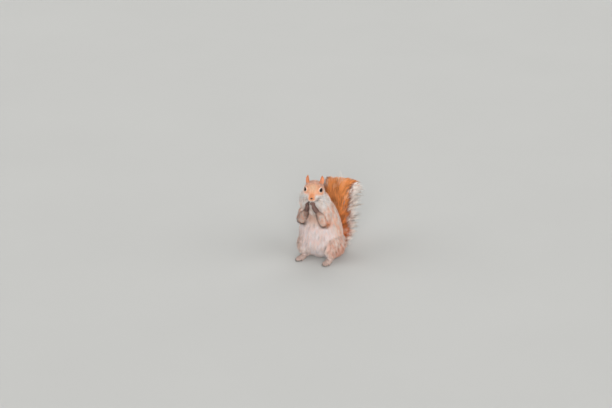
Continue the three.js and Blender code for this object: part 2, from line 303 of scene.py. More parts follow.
def new_material(
    name, colour, roughness, specular, scale, spread, bump=0.2, distance=0.0002, clear=0.0, sheen=0.0
):
    """Fine procedural variation and bump over one colour, or over the mesh's Coat colours where it is None.
    clear is a wet layer and sheen a soft one."""
    material = bpy.data.materials.new(name)
    material.use_nodes = True
    tree = material.node_tree
    shader = tree.nodes["Principled BSDF"]
    feed(tree, shader, {"Roughness": roughness, "Specular IOR Level": specular})
    feed(tree, shader, {"Coat Weight": clear, "Coat Roughness": 0.02})
    feed(tree, shader, {"Sheen Weight": sheen, "Sheen Roughness": 0.4})
    if colour is None:
        base = add_node(tree, "VertexColor", layer_name="Coat")
    else:
        base = add_node(tree, "RGB")
        base.outputs[0].default_value = (*linear(*colour), 1)
    place = add_node(tree, "TexCoord").outputs["Object"]
    height = add_node(tree, "TexNoise", {"Scale": scale, "Detail": 3, "Vector": place}).outputs["Fac"]
    span = {"Value": height, "From Min": 0.3, "From Max": 0.7, "To Min": 1 - spread, "To Max": 1 + spread}
    share = add_node(tree, "MapRange", span).outputs["Result"]
    varied = add_node(tree, "VectorMath", {0: base.outputs[0], "Scale": share}, operation="SCALE")
    feed(tree, shader, {"Base Color": varied.outputs["Vector"]})
    if bump:
        raised = add_node(tree, "Bump", {"Height": height, "Strength": bump, "Distance": distance})
        feed(tree, shader, {"Normal": raised.outputs["Normal"]})
    return material


# ---- the skin's rough shape ----
def hand_digits(side):
    """Each finger's points in millimetres: root, knuckle, tip, claw root and claw end."""
    for k in (-1.5, -0.5, 0.5, 1.5):
        step = 3.5 * k
        line = [(7.6, 1, 1), (7.2, 2 + 0.1 * step, 6.4), (4.2, 2.6 + 0.15 * step, 9.6)]
        line += [(2.7, 2.7 + 0.15 * step, 9.8), (1, 2.5 + 0.15 * step, 7.8)]
        yield [(HANDS[0] + side * a, HANDS[1] - f - step, HANDS[2] + up) for a, f, up in line]


def on_foot(name, x, forward, z):
    side = SIDES[name]
    turn = side * TOE_OUT
    across, along = side * x, -forward
    return (
        side * HEEL[name] + across * cos(turn) - along * sin(turn),
        HEEL["y"] + across * sin(turn) + along * cos(turn),
        z,
    )


def foot_digits(name):
    """Each toe's points in millimetres: root, knuckle, tip, claw root and claw end."""
    for k in (-2, -1, 0, 1, 2):
        reach = FOOT_LONG * (0.99 - 0.028 * k * k)
        x = 3.15 * k
        back = 0.72 * FOOT_LONG - 0.9 * k * k
        knuckle, tip = back + (reach - 4.5 - back) * 0.55, reach - 4.5
        line = [(0.92, back - 6, 3), (1.08, knuckle, 3.9), (1.16, tip, 2.3)]
        line += [(1.18, reach - 1.8, 2.5), (1.2, reach + 1.2, 0.9)]
        yield [on_foot(name, x * share, f, z) for share, f, z in line]


def digit_tube(points, radius, side):
    """One finger or toe, thicker at its joints, and the direction from its root to its tip."""
    sizes = (1.1, 0.86, 1.08, 0.82, 0.98)
    knuckled = catmull(points[:3], np.linspace(0, 1, 5))
    shape = sweep([(p, radius * s, radius * s) for p, s in zip(knuckled, sizes)], side, 12, 4)
    return shape, unit(np.subtract(points[2], points[0]))


def palm_tube(side):
    wrist = np.array(HANDS) + (side * WRIST[0], *WRIST[1:])
    palm = np.array((HANDS[0] + side * 7.6, HANDS[1] - 1, HANDS[2]))
    sections = ((-0.4, 5, 5), (0.4, 6.6, 4.6), (1, 6.6, 3.8))
    return sweep([(wrist + (palm - wrist) * share, w, h) for share, w, h in sections], (0, 1, 0))


def sole_tube(name):
    stations = []
    sections = ((-1, 5.6, 0.78, 5.5), (0.25, 6.2, 0.88, 6), (0.5, 5, 0.98, 5), (0.72, 3.8, 1.04, 3.9))
    for share, z, width, tall in sections:
        stations.append((on_foot(name, 0, max(share * FOOT_LONG, 2), z), width * FOOT_HALF, tall))
    return sweep(stations, (1, 0, 0))


def tail_tube():
    centres = catmull([s[0] for s in TAIL], np.linspace(0, 1, 19))
    sizes = np.linspace(6.5, 2.2, 19)
    return sweep([(c, r, r) for c, r in zip(centres, sizes)], (1, 0, 0), 14, 2)


def ear_turn(side):
    """From an ear's own frame, up its leaf along Z and open towards -Y, to the row's."""
    return (
        HEAD_TURN
        @ Matrix.Translation(Vector((side * EAR["side"], -EAR["forward"], EAR["up"])) * MM)
        @ Matrix.Rotation(-EAR["tilt"], 4, "X")
        @ Matrix.Rotation(side * EAR["lean"], 4, "Y")
        @ Matrix.Rotation(side * EAR["turn"], 4, "Z")
    )


def ear_half_width(heights):
    up, widths, _ = np.array(EAR_LEAF).T
    return np.interp(heights, up, widths)


def ear_leaf(side):
    """An upright oval leaf, hollowed on the side that it opens to, and the direction up it."""
    points, faces = sweep([((0, 0, z), w, thick) for z, w, thick in EAR_LEAF], (1, 0, 0), 30, 5)
    points[:, 1] -= EAR_CUP * points[:, 0] ** 2 / (ear_half_width(points[:, 2] / MM) * MM)
    turn = ear_turn(side)
    return (placed(points, turn), faces), np.array(turn)[:3, 2]


def ear_hollow(points):
    """1 on the side of each ear's leaf that is hollow, 0 on its back and rim."""
    hollow = np.zeros(len(points))
    for side in SIDES.values():
        x, y, z = (placed(points, ear_turn(side).inverted()) / MM).T
        half = ear_half_width(z)
        inside = ramp(0.05, -0.3, y + EAR_CUP * x**2 / half) * ramp(0.92, 0.7, abs(x) / half)
        near = (abs(x) < 9) & (abs(y) < 7) & (z > -2) & (z < 16)
        hollow = np.where(near, inside * ramp(13.5, 10, z), hollow)
    return hollow


def skin_sources():
    """The closed shapes that the skin is drawn over, by region."""
    own = ("hand_", "hind_foot_", "tail_", "ear_")
    sources = {name: node_mesh(name) for name in frame["nodes"] if not name.startswith(own)}
    for name, side in SIDES.items():
        sources[f"hand_{name}"] = palm_tube(side)
        sources[f"hind_foot_{name}"] = sole_tube(name)
    sources["tail"] = tail_tube()
    return sources


def remeshed(points, faces, voxel):
    """One closed surface round overlapping ones."""
    mesh = bpy.data.meshes.new("rough")
    mesh.from_pydata(points.tolist(), [], faces.tolist())
    thing = new_object("rough", mesh)
    modifier = thing.modifiers.new("remesh", "REMESH")
    modifier.mode, modifier.voxel_size = "VOXEL", voxel
    result = bpy.data.meshes.new_from_object(thing.evaluated_get(bpy.context.evaluated_depsgraph_get()))
    bpy.data.objects.remove(thing)
    return result


def subdivided(mesh, wanted):
    """Splits the faces whose middle is wanted, and returns points and triangles."""
    shape = bmesh.new()
    shape.from_mesh(mesh)
    centres = np.array([f.calc_center_median() for f in shape.faces])
    chosen = [f for f, yes in zip(shape.faces, wanted(centres)) if yes]
    edges = list({e for f in chosen for e in f.edges})
    bmesh.ops.subdivide_edges(shape, edges=edges, cuts=1, use_grid_fill=True)
    bmesh.ops.triangulate(shape, faces=shape.faces)
    shape.to_mesh(mesh)
    shape.free()
    return read(mesh.vertices, "co"), read(mesh.polygons, "vertices", np.int32)


class Net:
    """A triangle mesh's neighbours, for smoothing what its points carry."""

    def __init__(self, faces, count):
        pairs = np.vstack([faces[:, [0, 1]], faces[:, [1, 2]], faces[:, [2, 0]]])
        pairs = np.unique(np.sort(pairs, 1), axis=0)
        self.here = np.concatenate([pairs[:, 0], pairs[:, 1]])
        self.there = np.concatenate([pairs[:, 1], pairs[:, 0]])
        self.count = count
        self.degree = np.maximum(np.bincount(self.here, minlength=count), 1)

    def mean(self, values):
        flat = values.reshape(self.count, -1)
        sums = [np.bincount(self.here, column[self.there], self.count) for column in flat.T]
        return (np.stack(sums, 1) / self.degree[:, None]).reshape(values.shape)

    def smooth(self, values, rounds, share=0.5):
        for _ in range(rounds):
            values = values + share * (self.mean(values) - values)
        return values

    def fair(self, points, rounds):
        """Smooths without shrinking."""
        for _ in range(rounds):
            points = points + 0.55 * (self.mean(points) - points)
            points = points - 0.57 * (self.mean(points) - points)
        return points


def normals_of(points, faces):
    corners = points[faces]
    across = np.cross(corners[:, 1] - corners[:, 0], corners[:, 2] - corners[:, 0])
    total = np.zeros_like(points)
    for axis in range(3):
        total[:, axis] = sum(np.bincount(faces[:, i], across[:, axis], len(points)) for i in range(3))
    return unit(total)


# ---- the skin ----
VOXEL = 1.15 * MM
FLOOR_CLEAR = 0.25 * MM
FINGER, TOE = 1.25, 1.55  # radius of a finger and of a toe, in millimetres
# For each region, in millimetres: the coat's depth over the skin, and its tufts' length, width and spacing.
REGIONS = {
    "head": (1.5, 4.6, 0.37, 0.6),
    "ear": (0.3, 2.1, 0.2, 0.36),
    "neck": (5.2, 11, 0.52, 0.8),
    "trunk": (5.6, 12, 0.56, 0.82),
    "upper_arm": (4.2, 8, 0.48, 0.68),
    "forearm": (3, 7, 0.4, 0.64),
    "hand": (0.45, 2.6, 0.3, 0.53),
    "thigh": (5.2, 11, 0.54, 0.8),
    "shank": (4, 9, 0.5, 0.76),
    "hind_foot": (0.75, 3.6, 0.33, 0.6),
    "tail": (0.3, 4, 0.6, 2.4),
    "eye": (1.4, 3, 0.34, 0.56),
}
DEPTH, LENGTH, WIDTH, SPACING = range(4)
BODY_KINDS = ("neck", "trunk", "upper_arm", "thigh", "shank")
EYE_AXIS = np.array([0.83, 0.5, 0.22]) / np.linalg.norm([0.83, 0.5, 0.22])
LID_ABOVE_EYE, SOCKET_BELOW_EYE = 0.35, 0.7
FAR_FROM_EYES = 9.0  # what lid_distance gives away from the eyes
NOSE_TIP = np.array([0, 38.2, -4.6])

# What stands out on each side of the head, in its own frame in millimetres: how far, where, and how wide.
HEAD_BULGES = (
    (1.5, (4.8, 33, -8), (3.4, 4.5, 3.4)),  # whisker pad
    (0.6, (11.5, 16, 11.5), (4, 5, 3)),  # brow
    (-0.5, (10, 21.5, 2), (3, 4, 3)),  # before the eye
    (1.1, (15, 8, -9), (6, 8, 6)),  # cheek
    (1.4, (16.5, 12, 4.6), (7, 9.5, 8.5)),  # round the eye
)


def region_of(name):
    return name.removesuffix("_left").removesuffix("_right")


def labelled(points, sources):
    """The index of the nearest source for each point."""
    owner = np.concatenate([np.full(len(faces), i) for i, (_, faces) in enumerate(sources.values())])
    all_points, all_faces = joined(list(sources.values()))
    tree = BVHTree.FromPolygons(all_points.tolist(), all_faces.tolist())
    return np.array([owner[tree.find_nearest(p)[2]] for p in points])


def eye_frame(side):
    """The eye's middle, its axis, and the directions along and up its opening, in the head's own frame."""
    centre = np.array([side * EYE["side"], EYE["forward"], EYE["up"]])
    axis = EYE_AXIS * (side, 1, 1)
    along = unit(np.cross((0, 0, 1), axis)) * side  # towards the nape
    along = along if along[1] < 0 else -along
    above = np.cross(along, axis)
    return centre, axis, along, above if above[2] > 0 else -above


def lid_opening(across, up):
    """Half the angle of the eye's opening towards each direction, an oval with a point before and behind."""
    turn = np.arctan2(up, across)
    return np.radians(41 + 8 * np.cos(turn) ** 2 + 3 * np.cos(turn) ** 6)


def about_eye(local, side):
    """The eye's middle, and seen from it each point's distance, bearing and angle off the eye's axis, and how
    wide the lids open that way."""
    centre, axis, along, above = eye_frame(side)
    far, bearing = np.linalg.norm(local - centre, axis=1), unit(local - centre)
    angle = np.arccos(np.clip(bearing @ axis, -1, 1))
    return centre, far, bearing, angle, lid_opening(bearing @ along, bearing @ above)


def lid_distance(points):
    """How far each point lies outside the nearer eye's opening, as an angle at the eye's middle."""
    local = head_coordinates(points)
    least = np.full(len(points), FAR_FROM_EYES)
    for side in SIDES.values():
        _, far, _, angle, opening = about_eye(local, side)
        least = np.where(far < 11, np.minimum(least, angle - opening), least)
    return least


def sculpt_head(points, normals, share):
    """The muzzle, brows, cheeks and mouth, and lids drawn over each eye. share is how far a point belongs to
    the head."""
    local = head_coordinates(points)
    turned = normals @ np.array(HEAD_TURN.to_3x3()) * (1, -1, 1)
    x, forward, z = local.T
    out = np.zeros(len(local))
    for side in SIDES.values():
        for height, (aside, *place), size in HEAD_BULGES:
            out += height * blob(local, (side * aside, *place), size)
    out += 1.3 * blob(local, (0, 23, 7), (6, 8, 4))  # bridge of the nose
    out += 0.8 * blob(local, (0, 34, 0), (4, 4, 3))  # over the nose pad
    mouth = -12.4 - 0.16 * (36 - forward) + 1.3 * np.exp(-((x / 2.2) ** 2))
    out -= 1.1 * np.exp(-(((z - mouth) / 0.75) ** 2)) * ramp(22, 26, forward)
    out -= 0.7 * np.exp(-((x / 0.5) ** 2)) * ramp(34.5, 36, forward) * ramp(-12, -11, z) * (z < -5)
    moved = local + turned * (out * share)[:, None]
    chin = ramp(24, 36, forward) * ramp(0.3, 2.5, mouth - z)
    moved[:, 1] -= 2.3 * chin * share
    moved[:, 0] *= 1 - 0.16 * chin * share
    for side in SIDES.values():
        centre, far, bearing, angle, opening = about_eye(moved, side)
        over = ramp(-0.07, 0.07, angle - opening)
        radius = EYE["radius"] - SOCKET_BELOW_EYE + over * (SOCKET_BELOW_EYE + LID_ABOVE_EYE)
        near = (angle < radians(100)) & (far < 12)
        rim = 0.35 * np.exp(-(((angle - opening - 0.16) / 0.12) ** 2))
        held = np.where(angle < opening, radius, np.maximum(far, radius)) + rim
        moved[near] = (centre + bearing * held[:, None])[near]
    drawn = np.array([HEAD_TURN @ Vector((a * MM, -b * MM, c * MM)) for a, b, c in moved])
    return points + (drawn - points) * np.clip(share, 0, 1)[:, None]


def make_skin():
    """The skin's points, triangles, neighbours, and how far each point belongs to each region."""
    sources = skin_sources()
    names = list(sources)
    rough = remeshed(*joined(list(sources.values())), VOXEL)
    near_face = lambda centres: (head_coordinates(centres)[:, 1] > -14) & (
        np.abs(head_coordinates(centres) - (0, 10, 2)).max(1) < 32
    )
    points, faces = subdivided(rough, near_face)
    net = Net(faces, len(points))
    points = net.fair(points, 8)
    labels = labelled(points, sources)
    kinds = list(REGIONS)
    hot = np.zeros((len(points), len(kinds)))
    hot[np.arange(len(points)), [kinds.index(region_of(names[i])) for i in labels]] = 1
    soft = net.smooth(hot, 12)
    measures = np.array(list(REGIONS.values()))
    depth = net.smooth(hot @ measures[:, DEPTH], 14) * MM
    normals = unit(net.smooth(normals_of(points, faces), 6))
    points = points - normals * depth[:, None]
    body = net.smooth(hot[:, [kinds.index(kind) for kind in BODY_KINDS]].sum(1), 10)
    points = net.fair(points, 4)
    points = points + (net.fair(points, 45) - points) * ramp(0.5, 1, body)[:, None]
    nape = blob(head_coordinates(points), (0, -22, -8), (22, 9, 13))
    points = points + (net.smooth(points, 110) - points) * np.clip(1.5 * nape, 0, 1)[:, None]
    fine = np.isin(labels, [i for i, n in enumerate(names) if n == "head" or n.startswith("eye")])
    share = np.clip(net.smooth(fine.astype(float), 4) * 1.6 - 0.3, 0, 1)
    points = sculpt_head(points, normals_of(points, faces), share)
    toward = np.zeros_like(points)
    names += ["ear_left", "ear_right"]
    for name, side in SIDES.items():
        added = [("ear", ear_leaf(side))]
        added += [("hand", digit_tube(p, FINGER, (0, 1, 0))) for p in hand_digits(side)]
        added += [("hind_foot", digit_tube(p, TOE, (1, 0, 0))) for p in foot_digits(name)]
        for kind, ((more, triangles), direction) in added:
            faces = np.vstack([faces, triangles + len(points)])
            points = np.vstack([points, more])
            labels = np.append(labels, np.full(len(more), names.index(f"{kind}_{name}")))
            soft = np.vstack([soft, np.tile(np.eye(len(kinds))[kinds.index(kind)], (len(more), 1))])
            toward = np.vstack([toward, np.tile(direction, (len(more), 1))])
    points[:, 2] = np.maximum(points[:, 2], FLOOR_CLEAR)
    print("skin", len(points), len(faces))
    return points, faces, Net(faces, len(points)), names, labels, soft, toward


# ---- how the fur lies, its markings, and painted shade ----
TRUNK_AXIS_Z = (11, 31, 57, 84, 108, 126, 164)
TRUNK_AXIS_Y = (1, 4, 3, -3, -12, -20, -31)


def ripple(points, size, seed):
    """Smooth noise between about -1 and 1 that changes over a length of size metres."""
    waves = np.random.default_rng(seed)
    total = np.zeros(len(points))
    for _ in range(7):
        direction = unit(waves.normal(size=3)) * waves.uniform(0.7, 1.6) * 2 * pi / (size * 4)
        total += np.sin(points @ direction + waves.uniform(0, 2 * pi))
    return total / 3.2


def round_the_trunk(points):
    """The bearing of each point from the trunk's axis, in degrees: 0 in front, 90 on its left, 180 behind."""
    axis = np.interp(points[:, 2] / MM, TRUNK_AXIS_Z, TRUNK_AXIS_Y) * MM
    return np.degrees(np.arctan2(points[:, 0], axis - points[:, 1]))


def along_tail(t):
    """The tail's centre line at 0 to 1 along it, its direction, and the directions to its left and behind."""
    centres = np.array([s[0] for s in TAIL], float) * MM
    middle = catmull(centres, t)
    tangent = unit(catmull(centres, t + 0.01) - catmull(centres, t - 0.01))
    across = unit(np.array([1.0, 0, 0]) - tangent * tangent[:, :1])
    return middle, tangent, across, np.cross(tangent, across)


def lie_of_fur(points, faces, net, names, labels, soft, toward):
    """The direction in which the hair points at each of the skin's points."""
    side = np.array([1 if n.endswith("_left") else -1 if n.endswith("_right") else 0 for n in names])[labels]
    side = np.where(side == 0, np.sign(points[:, 0]) + (points[:, 0] == 0), side)
    own_side = lambda x, y, z: np.stack([side * x, side * 0 + y, side * 0 + z], 1)
    shoulder, elbow, wrist = own_side(*SHOULDER), own_side(*ELBOW), np.array(HANDS) + own_side(*WRIST)
    nose = np.array(on_head(*NOSE_TIP))
    down = np.zeros_like(points) - (0, 0, 1)
    low = ramp(45, 8, points[:, 2] / MM) * ramp(-20, 20, points[:, 1] / MM)
    t = np.linspace(0, 1, 60)
    middle, tangent, _, _ = along_tail(t)
    on_tail = labels == names.index("tail")
    place = np.zeros(len(points), int)
    place[on_tail] = nearest(points[on_tail], middle, range(len(middle)))
    ear_up = np.array(HEAD_TURN.to_3x3()) @ np.array([0, 0.4, 0.9])
    towards = {
        "head": unit(points - nose),
        "eye": unit(points - nose),
        "ear": ear_up + side[:, None] * np.array([0.12, 0, 0]),
        "neck": down + np.array([0, 0.1, 0]),
        "trunk": down + low[:, None] * np.array([0, 0.9, 0]),
        "upper_arm": unit(elbow - shoulder),
        "forearm": unit(wrist - elbow),
        "hand": unit(wrist - elbow) + np.array([0, -0.1, 0.2]),
        "thigh": down + np.array([0, -0.35, 0]),
        "shank": down * 0.85 + np.array([0, 0.5, 0]),
        "hind_foot": down * 0.05 + np.array([0, -1, 0]),
        "tail": tangent[place],
    }
    flow = sum(soft[:, [i]] * unit(towards[kind]) for i, kind in enumerate(REGIONS))
    flow = np.where(abs(toward).sum(1, keepdims=True) > 0, toward, flow)
    normals = normals_of(points, faces)
    flow = unit(flow - normals * (flow * normals).sum(1, keepdims=True))
    flow = net.smooth(flow, 25)
    flow = unit(flow - normals * (flow * normals).sum(1, keepdims=True))
    swirl = radians(8) * ripple(points, 0.02, 1) + radians(6) * ripple(points, 0.006, 2)
    return unit(flow * np.cos(swirl)[:, None] + np.cross(normals, flow) * np.sin(swirl)[:, None])


def mix(a, b, share):
    """From a towards b by each point's share. A tuple is a colour in the usual 0 to 255 values."""
    a, b = (linear(*colour) if isinstance(colour, tuple) else colour for colour in (a, b))
    return a + (b - a) * np.clip(share, 0, 1)[..., None]


def layered(colour, *layers):
    """A colour under others that are laid over it in turn, each by its share."""
    for over, share in layers:
        colour = mix(colour, over, share)
    return colour


def head_colours(points):
    """Orange-tan face with an orange-brown muzzle, white cheeks, chin and eye rings, and a grizzled crown."""
    local = head_coordinates(points)
    x, forward, z = local.T
    wander = ripple(points, 0.007, 5)
    behind_eye = 7 * ramp(14, 5, forward) * ramp(-10, 0, forward)
    cheek = ramp(1, -7, z - behind_eye + 1.8 * wander - 0.25 * (forward - 14))
    cheek = cheek * ramp(3.6, 9, abs(x) + 0.8 * wander)
    bridge = ramp(18, 34, forward + 1.5 * wander) * ramp(9, 1.5, abs(x) + wander)
    outside = lid_distance(points)
    return layered(
        (255, 188, 150),
        ((255, 208, 172), ramp(12, 2, abs(x)) * ramp(6, 16, forward) * ramp(-2, 5, z)),
        ((234, 180, 156), ramp(13, 0, forward + 2 * wander) * ramp(0, 9, z)),  # crown
        ((224, 186, 164), ramp(-2, -15, forward + 2 * wander) * ramp(-8, 4, z)),  # nape
        ((255, 244, 238), cheek * ramp(-15, -3, forward)),
        ((230, 152, 106), bridge * ramp(-10, -4.5, z)),
        ((252, 226, 212), ramp(-6.5, -9.5, z) * ramp(18, 25, forward) * 0.9),  # lips
        ((252, 236, 228), ramp(-10, -12.5, z) * ramp(-14, -4, forward)),  # chin
        ((255, 238, 226), ramp(0.02, 0.12, outside) * ramp(0.42, 0.2, outside) * 0.8),
        ((70, 48, 40), ramp(0.1, 0.04, outside)),  # edge of the lids
    )


def markings_and_painted_shade(points, soft):
    """The colour of skin and coat at each point, from how far it belongs to each region, with painted shade
    low on the right side, between the arms and on the forearms and hands.
    """
    place = points / MM
    x, y, height = place.T
    wander = ripple(points, 0.012, 6)
    bearing = abs(round_the_trunk(points) + 3) + 7 * wander
    streak = ramp(-0.5, 0.5, ripple(points * (1, 1, 0.25), 0.0013, 12))
    back = mix((214, 178, 156), (184, 158, 142), ramp(125, 160, bearing))
    rust = ramp(66, 92, bearing) * ramp(124, 100, bearing) * ramp(20, 50, height)
    flank = layered(
        (252, 208, 186),
        ((255, 238, 230), streak),
        ((252, 178, 134), rust * (0.42 - 0.28 * streak)),
        (back, ramp(120, 146, bearing)),
    )
    # Painted shade low on the animal's right side, over its belly and haunch.
    painted_shade_low_right = ramp(-20, -32, x) * ramp(74, 30, height + 10 * wander)
    # The breast between the arms: partly its own tan, partly painted shade of the arms and hands.
    breast_tan_and_shade = ramp(28, 12, abs(x - 4)) * ramp(82, 100, height)
    belly = layered(
        (255, 238, 233),
        ((246, 214, 206), 0.6 * streak),
        ((255, 240, 236), 0.7 * ramp(48, 26, height)),
        # painted shade low on the right
        ((190, 160, 146), painted_shade_low_right * 0.6),
        # the breast's own tan and painted shade
        ((226, 186, 164), breast_tan_and_shade * 0.85 * ramp(132, 118, height)),
        ((255, 244, 238), ramp(118, 132, height)),
    )
    ruff = ramp(128, 138, height) * ramp(160, 150, height) * ramp(124, 92, bearing)
    neck = layered(flank, ((255, 238, 228), ramp(88, 54, bearing + 8 * streak)), ((255, 244, 237), ruff))
    outer = ramp(36, 48, abs(x) + 3 * wander) + ramp(-25, -5, y)
    dappled = ramp(62, 34, height + 16 * streak) * np.clip(outer, 0, 1)
    inner = ramp(42, 32, abs(x) + 2 * wander) * ramp(-8, -30, y)
    haunch = layered(
        (255, 212, 194),
        ((255, 236, 226), streak * 0.7),
        ((208, 140, 114), dappled * 0.85),
        (back, ramp(4, 28, y) * 0.8),
        (belly, inner * 0.85),
        # painted shade low on the right
        ((190, 158, 142), painted_shade_low_right * 0.6),
    )
    patch = ((248, 146, 86), blob(place, (35, -32, 92), (8, 12, 8)) * 0.85)  # orange, by the left elbow
    arm = layered(
        (255, 206, 182),
        ((255, 238, 228), streak * 0.8),
        patch,
        ((236, 156, 112), blob(place, (-36, -30, 100), (8, 14, 14)) * 0.7),
    )
    # The forearm darkens on its inner side and towards the hand: partly the fur's own grey-brown, partly
    # painted shade between the arms and the chest. On the right forearm the dark inner side reaches down to
    # the elbow, which is painted shade on the side away from the light.
    inside = ramp(9, -2, abs(x - 5) - 15)
    inside = inside * np.maximum(ramp(92, 108, height), 0.35 + 0.65 * ramp(8, -8, x))
    head = head_colours(points)
    risen = ramp(8, 17, head_coordinates(points)[:, 2] + 1.5 * wander)
    by_kind = {
        "head": head,
        "eye": head,
        "ear": layered((240, 180, 150), ((250, 150, 86), risen), ((236, 152, 112), ear_hollow(points))),
        "neck": neck,
        "trunk": layered(flank, (belly, ramp(80, 56, bearing + 6 * streak)), patch),
        "upper_arm": arm,
        # own grey-brown and painted shade on the inner side and by the hand
        "forearm": mix(arm, (146, 108, 96), np.maximum(0.75 * inside, ramp(108, 126, height))),
        # Dark hands: partly their own grey-brown, partly painted shade on their undersides.
        "hand": linear(132, 100, 92),
        "thigh": haunch,
        "shank": haunch,
        "hind_foot": linear(232, 204, 192),
        "tail": linear(214, 144, 96),
    }
    colour = sum(soft[:, [i]] * by_kind[kind] for i, kind in enumerate(REGIONS))
    return capped(colour * (1 + 0.07 * ripple(points, 0.005, 8) + 0.05 * ripple(points, 0.02, 9))[:, None])


# ---- tufts ----
LEVELS = 3  # of points along each tuft of head, body and limbs
SHORT_LOCKS, LONG_LOCKS = 0.1, 0.05  # the share of tufts that lead a lock, in short and in long fur
FLECKED_BY_LOCK = 0.45  # the share of tufts whose fleck is their lock's
FLECK_SHARE = 0.2  # the share of tufts that are dark flecks, and again of those that are pale ones
BACK_FROM = 78  # degrees round the trunk at which its front ends and its back begins
CHEST_FROM = 72  # height in millimetres at which the belly ends and the chest begins
FACE_FROM = 6  # how far forward on the head the crown ends and the face begins
PATCH = 0.0015  # half the size of a tuft's patch on the OFBake map
SOFTNESS = 1.9  # how far a tuft's shading follows the coat's surface rather than its own faces
BRIGHTEST = 0.98  # albedo of the palest hair
CORNERS = ((0, 1), (1, 0), (-1, 0))  # a tuft's section: its ridge, then its two edges


def sown(points, faces, spacing, fields, allowed):
    """Roots spread evenly over the skin: their places, and what the skin carries there."""
    corners = points[faces]
    area = np.linalg.norm(np.cross(corners[:, 1] - corners[:, 0], corners[:, 2] - corners[:, 0]), axis=1) / 2
    expected = area / spacing[faces].mean(1) ** 2 * allowed[faces].mean(1)
    total = np.cumsum(expected)
    count = int(total[-1])
    picks = (np.arange(count) + rng.uniform(0, 1, count)) * total[-1] / count
    chosen = np.minimum(np.searchsorted(total, picks), len(faces) - 1)
    a, b = rng.uniform(0, 1, (2, count))
    flip = a + b > 1
    a, b = np.where(flip, 1 - a, a), np.where(flip, 1 - b, b)
    share = np.stack([1 - a - b, a, b], 1)[..., None]
    return (points[faces[chosen]] * share).sum(1), [(f[faces[chosen]] * share).sum(1) for f in fields]


def leaders_of(roots, share):
    """For each tuft the nearest of a few chosen ones, whose lock it belongs to."""
    return nearest(roots, roots, np.flatnonzero(rng.uniform(0, 1, len(roots)) < share))


def drawn_together(lines, leader, pull, bend=1.7):
    """Lines whose tips are drawn towards the tip of their lock's leader, so that locks form."""
    shift = (lines[leader, -1] - lines[:, -1]) * pull[:, None]
    return lines + shift[:, None] * (np.linspace(0, 1, lines.shape[1]) ** bend)[None, :, None]


def tufts(name, lines, across, width, ridge, colours, place, material, slot, outward, taper=(1, 0.86, 0.5)):
    """Closed three-sided spikes along lines, an array (tuft, level, xyz) whose last level is the tip.
    Their shading leans towards outward, the way the coat's own surface faces, as soft hair's does."""
    count, levels = lines.shape[:2]
    rings = levels - 1
    tangent = np.empty_like(lines[:, :rings])
    tangent[:, 0] = lines[:, 1] - lines[:, 0]
    tangent[:, 1:] = lines[:, 2:] - lines[:, :-2]
    tangent = unit(tangent)
    flat = unit(across[:, None] - tangent * (tangent * across[:, None]).sum(-1, keepdims=True))
    above = np.cross(flat, tangent)
    scale = np.interp(np.linspace(0, 1, rings), np.linspace(0, 1, len(taper)), taper)
    half = width[:, None, None] / 2 * scale[None, :, None]
    points = np.empty((count, rings * 3 + 1, 3))
    uv = np.empty((count, rings * 3 + 1, 2))
    for j, (aside, raised) in enumerate(CORNERS):
        points[:, j : rings * 3 : 3] = lines[:, :rings] + half * (flat * aside + above * raised * ridge)
        uv[:, j : rings * 3 : 3, 0] = place[:, :1] + PATCH * aside
        steps = np.linspace(-1, 0.5, rings) - 0.4 * raised
        uv[:, j : rings * 3 : 3, 1] = place[:, 1:] + PATCH * steps[None]
    points[:, -1] = lines[:, -1]
    uv[:, -1] = place + (0, PATCH)
    points[..., 2] = np.maximum(points[..., 2], FLOOR_CLEAR)
    faces = [(2, 1, 0)]
    for k in range(rings - 1):
        for j in range(3):
            low, low_next = 3 * k + j, 3 * k + (j + 1) % 3
            faces += [(low, low_next, low_next + 3), (low, low_next + 3, low + 3)]
    faces += [(3 * (rings - 1) + j, 3 * (rings - 1) + (j + 1) % 3, 3 * rings) for j in range(3)]
    faces = np.array(faces)[None] + (np.arange(count) * (rings * 3 + 1))[:, None, None]
    spread = np.repeat(np.arange(levels), [3] * rings + [1])
    points, faces, colours = points.reshape(-1, 3), faces.reshape(-1, 3), colours[:, spread].reshape(-1, 3)
    thing = add_piece(name, points, faces, material, slot, (), colours, uv.reshape(-1, 2))
    leaning = normals_of(points, faces) + SOFTNESS * np.repeat(outward, rings * 3 + 1, 0)
    thing.data.normals_split_custom_set_from_vertices(unit(leaning))
    print(name, count, "tufts", len(faces), "triangles")


def filling(place):
    """Places spread over the map, from 0.02 to 0.98 both ways."""
    low, high = place.min(0), place.max(0)
    return 0.02 + 0.96 * (place - low) / np.maximum(high - low, 1e-9)


def unwrapped(roots, origin, axis, front):
    """Places on the map, round and along an axis."""
    axis = unit(np.asarray(axis, float))
    front = unit(np.asarray(front, float) - axis * np.dot(front, axis))
    local = roots - origin
    return filling(np.stack([np.arctan2(local @ np.cross(axis, front), local @ front), local @ axis], 1))


def unwrapped_pair(roots, right_hand, axis, front):
    """Two like limbs, each unwrapped round its own middle, beside each other."""
    place = np.empty((len(roots), 2))
    for here, left_edge in ((right_hand, 0.01), (~right_hand, 0.51)):
        place[here] = unwrapped(roots[here], roots[here].mean(0), axis, front)
        place[here, 0] = left_edge + place[here, 0] * 0.48
    return place


def grow(roots, normals, flow, length, depth):
    """Lines that leave the skin, bend over with the lie of the fur, and end at the coat's depth."""
    s = np.linspace(0, 1, LEVELS)[None, :, None]
    rise, run = 1 - (1 - s) ** 1.8, s**1.125
    along, up = flow[:, None] * length[:, None, None], normals[:, None] * depth[:, None, None]
    return roots[:, None] + along * run + up * rise


def capped(colours):
    """The same hues, none brighter than real fur."""
    colours = np.maximum(colours, 0.004)
    return colours * np.minimum(1, BRIGHTEST / colours.max(-1, keepdims=True))


